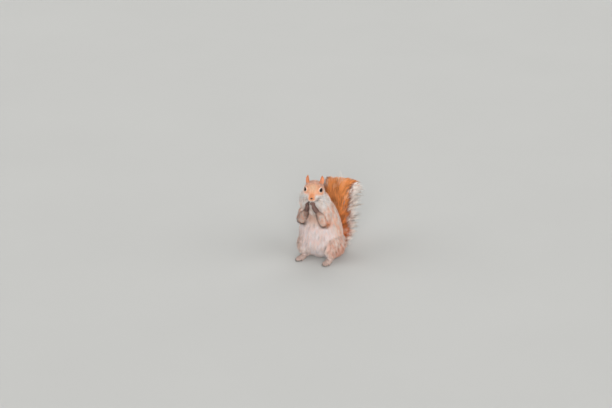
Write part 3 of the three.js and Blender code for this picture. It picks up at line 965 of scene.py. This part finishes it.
def tinted(base, leader, root=0.94, tip=1.12, spread=0.055):
    """A colour for each level of each tuft: darker at the root, partly the grey underfur and partly painted
    shade deep in the coat, and lighter at the tip. Locks differ from each other, and tufts a little within
    them."""
    along = np.interp(np.linspace(0, 1, LEVELS), (0, 0.45, 1), (root, 1, tip))
    own, lock, hue = rng.normal(size=(3, len(base), 1))
    bright = 1 + spread * own + 2 * spread * lock[leader]
    warm = 1 + 0.8 * spread * hue[leader] * np.array([0.6, -0.3, -1])
    return capped((base * bright * warm)[:, None] * along[None, :, None])


# ---- the coat on head, body and limbs ----
def open_places(points):
    """1 where fur grows and 0 on the nose, in the eyes' openings and on the lids' edges."""
    local = head_coordinates(points)
    bare = (blob(local, NOSE_TIP, (3.2, 2.6, 2.4)) > 0.45) | (lid_distance(points) < 0.1)
    return np.where(bare, 0.0, 1.0)


# How strongly single tufts of a piece are dark or pale among the others.
FLECKS = {
    "coat_back_left": 0.5,
    "coat_back_right": 0.5,
    "coat_crown": 0.22,
    "coat_haunch_left": 0.35,
    "coat_haunch_right": 0.35,
    "coat_arms": 0.16,
    "coat_hands": 0.2,
    "coat_feet": 0.2,
}


def plant_body(points, faces, net, names, labels, soft, colours, flow):
    """Where the tufts of head, body and limbs stand, how each lies, and its colour, sizes and region."""
    kinds = list(REGIONS)
    measures = np.array(list(REGIONS.values()))
    depth, length, width, spacing = (soft @ measures[:, i] * MM for i in (DEPTH, LENGTH, WIDTH, SPACING))
    local = head_coordinates(points)
    on_head_share = soft[:, kinds.index("head")] + soft[:, kinds.index("eye")]
    front = ramp(8, 30, local[:, 1]) * on_head_share
    lids = ramp(0.6, 0.14, lid_distance(points))
    rear = ramp(2, -17, local[:, 1]) * on_head_share
    wrist = ramp(100, 124, points[:, 2] / MM) * soft[:, kinds.index("forearm")]
    for share, *change in (
        (front, -0.5, -0.25, -0.45),
        (lids, -0.6, -0.3, -0.45),
        (rear, 0.8, 0.3, 0.8),
        (wrist, -0.5, -0.3, -0.7),
    ):
        length, width, depth = (size * (1 + c * share) for size, c in zip((length, width, depth), change))
    allowed = open_places(points) * (labels != names.index("tail"))
    allowed = np.where((points[:, 2] < 2.5 * MM) & (soft[:, kinds.index("trunk")] < 0.5), 0, allowed)
    allowed = np.where(points[:, 2] < 1 * MM, 0, allowed)
    allowed = allowed * (1 - 0.8 * ear_hollow(points) * soft[:, kinds.index("ear")])
    normals = unit(net.smooth(normals_of(points, faces), 1))
    fields = [normals, flow, colours, np.stack([length, width, depth], 1), soft]
    roots, (normals, flow, colours, sizes, soft_at) = sown(points, faces, spacing, fields, allowed)
    normals = unit(normals)
    flow = unit(flow - normals * (flow * normals).sum(1, keepdims=True))
    length, width, depth = sizes.T
    count = len(roots)
    turn = rng.normal(0, radians(7), count)
    flow = flow * np.cos(turn)[:, None] + np.cross(normals, flow) * np.sin(turn)[:, None]
    length = length * rng.uniform(0.72, 1.12, count)
    depth = depth * rng.uniform(0.68, 1.08, count)
    width = width * rng.uniform(0.75, 1.2, count)
    across = np.cross(flow, normals)
    kind = np.argmax(soft_at, 1)
    return roots, normals, flow, colours, length, width, depth, across, kind


def coat_pieces(skin_parts, material):
    """The coat of head, body and limbs: for each piece its tufts, and how its map is unwrapped."""
    roots, normals, flow, colours, length, width, depth, across, kind = plant_body(*skin_parts)
    index = {name: i for i, name in enumerate(REGIONS)}
    local = head_coordinates(roots)
    is_kind = lambda *wanted: np.isin(kind, [index[w] for w in wanted])
    bearing = round_the_trunk(roots)
    high, left = roots[:, 2] > CHEST_FROM * MM, roots[:, 0] > 0
    trunk = is_kind("trunk")
    before, behind = trunk & (abs(bearing) < BACK_FROM), trunk & (abs(bearing) >= BACK_FROM)
    face = is_kind("head", "eye", "ear")
    up, forward, down = (0, 0, 1), (0, -1, 0), (0, 0, -1)
    middle = np.array((0, -3, 60)) * MM
    head_axis = np.array(HEAD_TURN.to_3x3()) @ np.array([0, -1, 0])
    centre = np.array(HEAD_CENTRE)
    leg = is_kind("thigh", "shank")
    hip = np.array((0, 0, 33)) * MM
    groups = {
        "coat_face": (face & (local[:, 1] >= FACE_FROM), "face_fur", centre, head_axis, up),
        "coat_crown": (face & (local[:, 1] < FACE_FROM), "face_fur", centre, head_axis, up),
        "coat_neck": (is_kind("neck"), "pale_fur", np.array((0, -26, 140)) * MM, up, forward),
        "coat_chest": (before & high, "pale_fur", middle, up, forward),
        "coat_belly": (before & ~high, "pale_fur", middle, up, forward),
        "coat_back_left": (behind & left, "limb_fur", middle, up, (0, 1, 0)),
        "coat_back_right": (behind & ~left, "limb_fur", middle, up, (0, 1, 0)),
        "coat_arms": (is_kind("upper_arm", "forearm"), "limb_fur", middle, up, forward),
        "coat_haunch_left": (leg & left, "limb_fur", hip + (30 * MM, 0, 0), forward, (1, 0, 0)),
        "coat_haunch_right": (leg & ~left, "limb_fur", hip - (24 * MM, 0, 0), forward, (-1, 0, 0)),
        "coat_hands": (is_kind("hand"), "limb_fur", np.array(HANDS) * MM, down, forward),
        "coat_feet": (is_kind("hind_foot"), "limb_fur", np.array((0, -20, 4)) * MM, forward, up),
    }
    for name, (chosen, slot, origin, axis, front) in groups.items():
        base, root = colours[chosen], roots[chosen]
        short = slot == "face_fur" or name in ("coat_hands", "coat_feet")
        lines = grow(root, normals[chosen], flow[chosen], length[chosen], depth[chosen])
        leader = leaders_of(root, SHORT_LOCKS if short else LONG_LOCKS)
        pull = np.clip(rng.normal(0.42, 0.2, len(root)), 0, 0.85) * (0.6 if short else 1)
        lines = drawn_together(lines, leader, pull)
        if name in ("coat_arms", "coat_hands", "coat_feet"):
            between = HANDS[0] * MM if name == "coat_hands" else 0
            place = unwrapped_pair(root, root[:, 0] < between, axis, front)
        else:
            place = unwrapped(root, origin, axis, front)
        amount = FLECKS.get(name, 0)
        if name.startswith("coat_back"):
            amount = amount * ramp(88, 128, abs(bearing[chosen]))
        fleck = rng.uniform(0, 1, len(base))
        fleck = np.where(rng.uniform(0, 1, len(base)) < FLECKED_BY_LOCK, fleck[leader], fleck)
        dark, pale = (fleck < FLECK_SHARE) * amount, (fleck > 1 - FLECK_SHARE) * amount
        base = layered(base, ((84, 62, 50), dark), ((240, 216, 194), pale))
        parts = (lines, across[chosen], width[chosen], 0.3, tinted(base, leader), place)
        tufts(name, *parts, material, slot, normals[chosen])


# ---- the tail's hair ----
TAIL_CORE, TAIL_DARK_FROM, TAIL_DARK_TO = 20.5, 23, 27.5  # how far out the hair's bands lie, in millimetres
TAIL_WIDER, TAIL_WIDER_LOW = 7, 8  # how much farther out they lie at the tail's bend and low on it
TAIL_LONG = 195  # length of the tail's centre line, in millimetres
TAIL_HAIRS = 16800
TAIL_CURVE = 1.55  # how early a hair of the tail leans outwards; 1 is a straight hair
TAIL_CUTS = (-0.01, 0.2, 0.4, 0.6, 0.8, 1.01)  # where along the tail its pieces divide
WISP_LOCKS, WISPS = 34, 4  # and hairs in each


def band_shift(start):
    """How much farther out the bands lie for hair from this place along the tail."""
    return TAIL_WIDER * ramp(0.35, 0.6, start) + TAIL_WIDER_LOW * ramp(0.5, 0.28, start)


def tail_hair_colour(out, start, behind, edge):
    """Orange near the middle, a dark band, then cream, by the distance out from the tail's middle. The band
    is paler in the edge hair, which is seen from its tips."""
    low = ramp(0.55, 0.1, start)
    out = out - band_shift(start) + 2.5 * edge
    return layered(
        (255, 160, 92),
        ((226, 122, 66), low),
        ((216, 140, 96), behind * 0.6),
        ((104, 48, 26), ramp(TAIL_CORE, TAIL_DARK_FROM, out) * (0.92 - 0.6 * edge)),
        (mix((255, 244, 236), (252, 232, 222), low), ramp(TAIL_DARK_TO - 2, TAIL_DARK_TO + 2, out)),
    )


def tail_sizes(t):
    """The half-width of the tail's hair, and its reach behind and in front, shrinking past the tail's end."""
    sizes = np.array([s[1:] for s in TAIL], float) * MM
    point = 1 - 0.8 * ramp(0.9, 1.14, t)
    return [np.interp(np.clip(t, 0, 1), np.linspace(0, 1, len(sizes)), column) * point for column in sizes.T]


def hair_lines(start, angle, reach, lead, lean, steps):
    """Each hair's points at the given steps of 0 to 1 along it, and how far out each lies in millimetres."""
    lines = np.empty((*steps.shape, 3))
    out = np.empty(steps.shape)
    for k, u in enumerate(steps.T):
        t = start + lead * u**1.25
        middle, _, across, behind = along_tail(t)
        half, back, front = tail_sizes(t)
        rise = 1 - (1 - u) ** TAIL_CURVE
        turn = angle + lean * u
        aside = half * np.cos(turn) * reach * rise
        raised = np.where(np.sin(turn) > 0, back, front) * np.sin(turn) * reach * rise
        raised = raised + (1 - u) * 2 * MM * np.sin(turn)
        lines[:, k] = middle + across * aside[:, None] + behind * raised[:, None]
        out[:, k] = np.sqrt(aside**2 + raised**2 + (np.clip(t - 0.91, 0, 1) * 1.5 * TAIL_LONG * MM) ** 2) / MM
    return lines, out


def tail_coat(material):
    """Long banded hair in pointed locks, out to the tail's sides and fanned round its bend."""
    count = TAIL_HAIRS
    fine = np.linspace(0, 1, 200)
    crowd = tail_sizes(fine)[0] + 14 * MM
    start = np.interp(rng.uniform(0, 1, count), np.cumsum(crowd) / crowd.sum(), fine)
    angle = rng.uniform(0, 2 * pi, count)
    leader = leaders_of(np.stack([start * TAIL_LONG, np.cos(angle) * 20, np.sin(angle) * 20], 1), 0.075)
    flatness = abs(np.sin(angle))
    reach = 1 - 0.34 * rng.uniform(0, 1, count) ** 2
    bend = ramp(0.5, 0.62, start) * ramp(0.92, 0.8, start) * np.clip(np.sin(angle), 0, 1)
    lock_reach = rng.normal(0.97, 0.1 + 0.18 * bend, count) + 0.2 * (rng.uniform(0, 1, count) < 0.1)
    lock_reach = lock_reach + 0.12 * flatness
    reach = reach * lock_reach[leader]
    reach = np.where(reach > 1, 1 + 0.15 * np.tanh((reach - 1) / 0.15), reach)
    lead = rng.uniform(0.025, 0.05, count) + 0.1 * flatness**2 + 0.07 * ramp(0.86, 1, start)
    lean = rng.normal(0, 0.17, count)
    shift = 3.4 * rng.normal(size=count)[leader] + rng.normal(0, 1.2, count)
    lead, lean = (own + 0.7 * (own[leader] - own) for own in (lead, lean))
    lead = np.minimum(lead, 1.13 - start)
    _, whole = hair_lines(start, angle, reach, lead, lean, np.ones((count, 1)))
    wider = band_shift(start) - shift
    dark_middle = 0.5 * (TAIL_DARK_FROM + TAIL_DARK_TO)
    bands = np.array([0.5 * TAIL_CORE, TAIL_CORE, dark_middle, TAIL_DARK_TO + 2]) + wider[:, None]
    share = np.clip(bands / whole, 0.02, 0.97)
    steps = np.hstack([np.zeros((count, 1)), 1 - (1 - share) ** (1 / TAIL_CURVE), np.ones((count, 1))])
    even = np.linspace(0, 1, 6)
    banded = (whole > TAIL_DARK_TO + 5 + wider[:, None]) & (np.diff(steps).min(1) > 0.02)[:, None]
    steps = np.where(banded, steps, even)
    lines, out = hair_lines(start, angle, reach, lead, lean, steps)
    levels = steps.shape[1]
    _, tangent, across, behind = along_tail(start)
    outward = across * np.cos(angle)[:, None] + behind * np.sin(angle)[:, None]
    width = rng.uniform(0.42, 0.66, count) * MM
    lines = drawn_together(lines, leader, np.clip(rng.normal(0.5, 0.22, count), 0, 0.9), 2)
    facing = unit(outward + behind * np.clip(2.2 * np.sin(angle), -1.4, 1.4)[:, None])
    rear = (np.sin(angle) > 0).astype(float)
    edge = ramp(0.42, 0.15, flatness)
    tone = tail_hair_colour(out + shift[:, None], start[:, None], rear[:, None], edge[:, None])
    along = np.arange(levels) / (levels - 1)
    # Darker at the root: painted shade deep among the tail's hairs.
    tone = tone * np.interp(steps, (0, 0.2, 1), (0.85, 1.03, 1.05))[..., None]
    fleck = rng.uniform(0, 1, count)[leader] + rng.normal(0, 0.06, count)
    dark = (fleck < 0.24 + 0.06 * rear)[:, None] * 0.6 * ramp(0.35, 0.6, along)[None]
    dark = dark * (1 - 0.7 * ramp(TAIL_DARK_TO, TAIL_DARK_TO + 4, out)) * (1 - 0.6 * edge)[:, None]
    pale = ((fleck > 0.84 - 0.3 * rear) * (0.35 + 0.25 * rear))[:, None] * ramp(0.6, 0.8, along)[None]
    tone = layered(tone, ((110, 56, 34), dark), ((250, 222, 192), pale))
    bright = 1 + 0.05 * rng.normal(size=count) + 0.14 * rng.normal(size=count)[leader]
    tone = capped(tone * bright[:, None, None])
    place = np.stack([(angle / (2 * pi) + 0.25) % 1, start], 1)
    sideways = np.cross(tangent, outward)
    for i, (low, high) in enumerate(zip(TAIL_CUTS[:-1], TAIL_CUTS[1:]), 1):
        chosen = (start >= low) & (start < high)
        parts = (lines[chosen], sideways[chosen], width[chosen], 0.4, tone[chosen], filling(place[chosen]))
        tufts(f"coat_tail_{i}", *parts, material, "tail_fur", facing[chosen], (0.7, 1, 1.15, 1.3, 0.9))


def tail_wisps(material):
    """Locks of a few long thin hairs that fan up from the tail's bend, well apart."""
    levels = 6
    count = WISP_LOCKS * WISPS
    lock = np.repeat(np.arange(WISP_LOCKS), WISPS)
    start = rng.uniform(0.55, 0.84, WISP_LOCKS)[lock] + rng.normal(0, 0.014, count)
    fan = np.radians(np.clip(rng.normal(98, 34, WISP_LOCKS), 14, 166))[lock] + rng.normal(0, 0.11, count)
    reach = (rng.uniform(10, 36, WISP_LOCKS)[lock] + rng.normal(0, 4, count)) * MM
    arch = rng.uniform(-14, 18, WISP_LOCKS)[lock] * MM
    middle = along_tail(start)[0]
    up = np.array([0, 0.1, 1.0])
    left = np.array([1.0, 0, 0])
    aim = left * np.cos(fan)[:, None] + up * np.sin(fan)[:, None]
    beside = up * np.cos(fan)[:, None] - left * np.sin(fan)[:, None]
    u = np.linspace(0, 1, levels)[None, :, None]
    lines = middle[:, None] + aim[:, None] * reach[:, None, None] * u
    lines = lines + beside[:, None] * arch[:, None, None] * u**2.2
    lines = drawn_together(lines, lock * WISPS, np.clip(rng.normal(0.35, 0.2, count), 0, 0.9), 2)
    tone = mix((250, 224, 192), (255, 242, 232), rng.uniform(0, 1, WISP_LOCKS)[lock])
    # Darker at the root: painted shade where the wisps leave the tail.
    tone = tone[:, None] * np.interp(np.linspace(0, 1, levels), (0, 0.5, 1), (0.6, 0.95, 1))[None, :, None]
    place = filling(np.stack([-fan, start], 1))
    sideways = beside + rng.normal(0, 0.3, (count, 3))
    width = rng.uniform(0.2, 0.32, count) * MM
    parts = (lines, sideways, width, 0.7, capped(tone), place)
    tufts("coat_tail_wisps", *parts, material, "tail_fur", unit(aim), (1, 1, 0.7))


# ---- eyes, nose, claws and whiskers ----
def ball(rings, segments):
    """A unit ball's points and triangles, its poles on Z."""
    polar = np.linspace(0, pi, rings + 1)[1:-1]
    turn = np.arange(segments) / segments * 2 * pi
    pairs = ((np.sin, np.cos), (np.sin, np.sin), (np.cos, np.ones_like))
    body = np.stack([np.outer(a(polar), b(turn)) for a, b in pairs], -1)
    points = np.vstack([[(0, 0, 1)], body.reshape(-1, 3), [(0, 0, -1)]])
    j = np.arange(segments)
    k = (j + 1) % segments
    faces = [np.stack([j * 0, 1 + j, 1 + k], 1)]
    for i in range(len(polar) - 1):
        low, high = 1 + i * segments, 1 + (i + 1) * segments
        faces += [np.stack([low + j, high + j, high + k], 1), np.stack([low + j, high + k, low + k], 1)]
    last = 1 + (len(polar) - 1) * segments
    faces.append(np.stack([last + j, j * 0 + len(points) - 1, last + k], 1))
    return points, np.vstack(faces)


def make_eye(name, side, material):
    """The eyeball, a little fuller over the cornea, with a dark pupil in a brown iris."""
    centre, axis, along, _ = eye_frame(side)
    points, faces = ball(48, 48)
    polar = np.arccos(np.clip(points[:, 2], -1, 1))
    radius = EYE["radius"] * (0.985 + 0.03 * np.exp(-((polar / 0.6) ** 2)))
    turned = points[:, :1] * along + points[:, 1:2] * np.cross(axis, along) + points[:, 2:] * axis
    world = head_to_world(centre + turned * radius[:, None])
    spokes = np.arctan2(points[:, 1], points[:, 0])
    colours = layered(
        (26, 15, 10),
        ((40, 23, 14), 0.5 + 0.5 * np.sin(spokes * 23)),
        ((10, 7, 6), ramp(0.5, 0.38, polar)),  # pupil
        ((14, 9, 8), ramp(0.66, 0.8, polar)),  # beyond the iris
    )
    faces = outward_facing(world, faces)
    add_piece(f"eyeball_{name}", world, faces, material, "eye", [f"eye_{name}"], colours)


def outward_facing(points, faces):
    """The same triangles, turned over if the closed shape is inside out."""
    a, b, c = (points[faces[:, i]] - points.mean(0) for i in range(3))
    volume = (a * np.cross(b, c)).sum()
    return faces if volume > 0 else faces[:, ::-1]


def closed_loop_tube(centres, radius, ring=8):
    """A closed ring of tube round a closed line of points."""
    centres = np.asarray(centres, float)
    tangent = unit(np.roll(centres, -1, 0) - np.roll(centres, 1, 0))
    outward = unit(centres - centres.mean(0))
    across = unit(outward - tangent * (outward * tangent).sum(1, keepdims=True))
    above = np.cross(tangent, across)
    angle = np.arange(ring) / ring * 2 * pi
    points = centres[:, None] + radius * (
        across[:, None] * np.cos(angle)[None, :, None] + above[:, None] * np.sin(angle)[None, :, None]
    )
    n = len(centres)
    faces = []
    for i in range(n):
        for j in range(ring):
            a, b = i * ring + j, i * ring + (j + 1) % ring
            c, d = ((i + 1) % n) * ring + (j + 1) % ring, ((i + 1) % n) * ring + j
            faces += [(a, b, c), (a, c, d)]
    return points.reshape(-1, 3), np.array(faces)


def make_lid_rim(name, side, material):
    """The dark bare edge of the lids, drawn round the eye's opening."""
    centre, axis, along, above = eye_frame(side)
    turns = np.linspace(0, 2 * pi, 72, endpoint=False)
    opening = lid_opening(np.cos(turns), np.sin(turns)) + 0.02
    ring = (
        axis * np.cos(opening)[:, None]
        + along * (np.sin(opening) * np.cos(turns))[:, None]
        + above * (np.sin(opening) * np.sin(turns))[:, None]
    )
    points, faces = closed_loop_tube(centre + ring * (EYE["radius"] + 0.2), 0.42)
    world = head_to_world(points)
    add_piece(f"lid_rim_{name}", world, outward_facing(world, faces), material)


def make_nose(material):
    """The bare nose pad, with a slit below and a nostril to each side."""
    points, faces = ball(40, 56)
    shape = points * (2.6, 2.3, 1.9)
    shape[:, 0] *= 1 + 0.16 * np.tanh(shape[:, 2])
    for side in (1, -1):
        shape = shape * (1 - 0.36 * blob(shape, (side * 1.55, 2, -0.3), (0.62, 1.4, 0.5))[:, None])
        shape = shape * (1 - 0.2 * blob(shape, (side * 2.3, 1.2, -0.1), (0.6, 1.2, 0.35))[:, None])
    shape = shape * (1 - 0.17 * blob(shape, (0, 2.4, -0.9), (0.28, 2, 1.4))[:, None])
    world = head_to_world(shape + NOSE_TIP + (0, -1.3, 0.4))
    add_piece("nose", world, outward_facing(world, faces), material, "face_fur")


def make_claws(name, digits, side, width, material):
    """Curved tapering claws, one for each digit."""
    claws = []
    for points in digits:
        _, _, tip, root, end = (np.array(p, float) for p in points)
        start = tip + (root - tip) * 0.2
        line = catmull([start, root, end], np.linspace(0, 1, 7))
        sizes = np.interp(np.linspace(0, 1, 7), (0, 0.45, 1), (1, 0.8, 0.16))
        claws.append(sweep([(p, width * 0.72 * s, width * s) for p, s in zip(line, sizes)], side, 10, 2))
    world, faces = joined(claws)
    world[:, 2] = np.maximum(world[:, 2], FLOOR_CLEAR)
    add_piece(name, world, faces, material)


def make_whiskers(material):
    """Fine whiskers from each side of the muzzle, and a few above each eye."""
    hairs = []
    for side in (1, -1):
        for row in range(3):
            for column in range(4):
                root = np.array((side * (5.6 - 0.25 * column), 31.5 - 1.9 * column, -6.6 - 1.7 * row))
                length = rng.uniform(30, 46) - 3 * row
                aim = np.array((side, 0.22 - 0.2 * column, 0.14 - 0.22 * row))
                aim = unit(aim + rng.normal(0, 0.05, 3))
                hairs.append((root, aim, length, -0.26))
        for aside in (0, 1.6):
            root = np.array((side * (11 + aside), 15 - aside, 12))
            hairs.append((root, unit(np.array((side * 0.8, 0.2, 0.9)) + rng.normal(0, 0.06, 3)), 13, -0.15))
    shapes = []
    for root, aim, length, droop in hairs:
        s = np.linspace(0, 1, 9)[:, None]
        line = root + aim * length * s + np.array((0, -0.35, droop)) * length * s**2
        sizes = np.interp(s[:, 0], (0, 1), (0.085, 0.02))
        shapes.append(sweep([(p, r, r) for p, r in zip(line, sizes)], (0, 1, 0.2), 5, 1))
    points, faces = joined(shapes)
    world = head_to_world(points / MM)
    add_piece("whiskers", world, outward_facing(world, faces), material)


# ---- floor, lamps and world ----
def add_floor(reach=20):
    mesh = bpy.data.meshes.new("floor")
    corners = [(x * reach, y * reach, 0) for x, y in ((-1, -1), (1, -1), (1, 1), (-1, 1))]
    mesh.from_pydata(corners, [], [(0, 1, 2, 3)])
    mesh.materials.append(new_material("floor_paint", (200, 200, 197), 0.9, 0.1, 3, 0.01, bump=0.02))
    new_object("floor", mesh)


def add_sun(name, azimuth, elevation, angle, strength):
    """A distant lamp, as broad in the sky as its angle, all in degrees; a strength of 1 is a full white's."""
    back = direction(radians(azimuth), radians(elevation))
    data = bpy.data.lights.new(name, "SUN")
    data.energy, data.angle = strength * pi, radians(angle)
    lamp = new_object(name, data)
    lamp.location = back
    lamp.rotation_mode = "QUATERNION"
    lamp.rotation_quaternion = (-back).to_track_quat("-Z", "Y")


def add_world(light, seen):
    """An even pale light all round, and the backdrop's own tone where it is seen or mirrored."""
    world = bpy.data.worlds.new("pale")
    world.use_nodes = True
    tree = world.node_tree
    lit = tree.nodes["Background"]
    feed(tree, lit, {"Color": (1, 1, 1, 1), "Strength": light})
    shown = add_node(tree, "Background", {"Color": (*linear(*seen), 1)})
    rays = add_node(tree, "LightPath").outputs
    share = rays["Is Camera Ray"]
    for other in ("Is Glossy Ray", "Is Transmission Ray"):
        share = add_node(tree, "Math", {0: share, 1: rays[other]}, operation="MAXIMUM").outputs[0]
    blend = add_node(tree, "MixShader", {0: share, 1: lit.outputs[0], 2: shown.outputs[0]})
    feed(tree, tree.nodes["World Output"], {"Surface": blend.outputs[0]})
    bpy.context.scene.world = world


# ---- all together ----
def make_squirrel():
    coats = {
        "skin": new_material("skin", None, 0.75, 0.3, 700, 0.08, 0.3, 0.0004),
        "coat": new_material("coat", None, 0.72, 0.2, 900, 0.06, 0, sheen=0.12),
        "eye": new_material("eye", None, 0.1, 0.12, 500, 0.05, 0, clear=0.3),
        "lid": new_material("lid", (48, 34, 30), 0.45, 0.4, 1200, 0.1),
        "nose": new_material("nose", (70, 46, 40), 0.42, 0.45, 2200, 0.12, 0.5, 0.0003),
        "claw": new_material("claw", (62, 48, 42), 0.35, 0.5, 800, 0.15),
        "whisker": new_material("whisker", (66, 54, 50), 0.5, 0.4, 800, 0.05),
    }
    points, faces, net, names, labels, soft, toward = make_skin()
    flow = lie_of_fur(points, faces, net, names, labels, soft, toward)
    colours = markings_and_painted_shade(points, soft)
    flesh = [n for n in frame["nodes"] if not n.startswith("eye_")]
    add_piece("skin", points, faces, coats["skin"], None, flesh, colours)
    coat_pieces((points, faces, net, names, labels, soft, colours, flow), coats["coat"])
    tail_coat(coats["coat"])
    tail_wisps(coats["coat"])
    make_nose(coats["nose"])
    make_whiskers(coats["whisker"])
    for name, side in SIDES.items():
        make_eye(name, side, coats["eye"])
        make_lid_rim(name, side, coats["lid"])
        make_claws(f"claws_hand_{name}", hand_digits(side), (0, 1, 0), 0.95, coats["claw"])
        make_claws(f"claws_foot_{name}", foot_digits(name), (1, 0, 0), 1.1, coats["claw"])


make_squirrel()
add_floor()
add_sun("key", 24, 23, 25, 0.57)
add_sun("fill_left", 92, 26, 60, 0.34)
add_sun("fill_right", -60, 26, 60, 0.28)
add_sun("back", 200, 40, 60, 0.28)
add_world(0.32, (202, 202, 199))
bpy.context.scene.view_settings.view_transform = "Standard"
for leftover in [o for o in bpy.data.objects if o.name == "Cube"]:
    bpy.data.objects.remove(leftover)
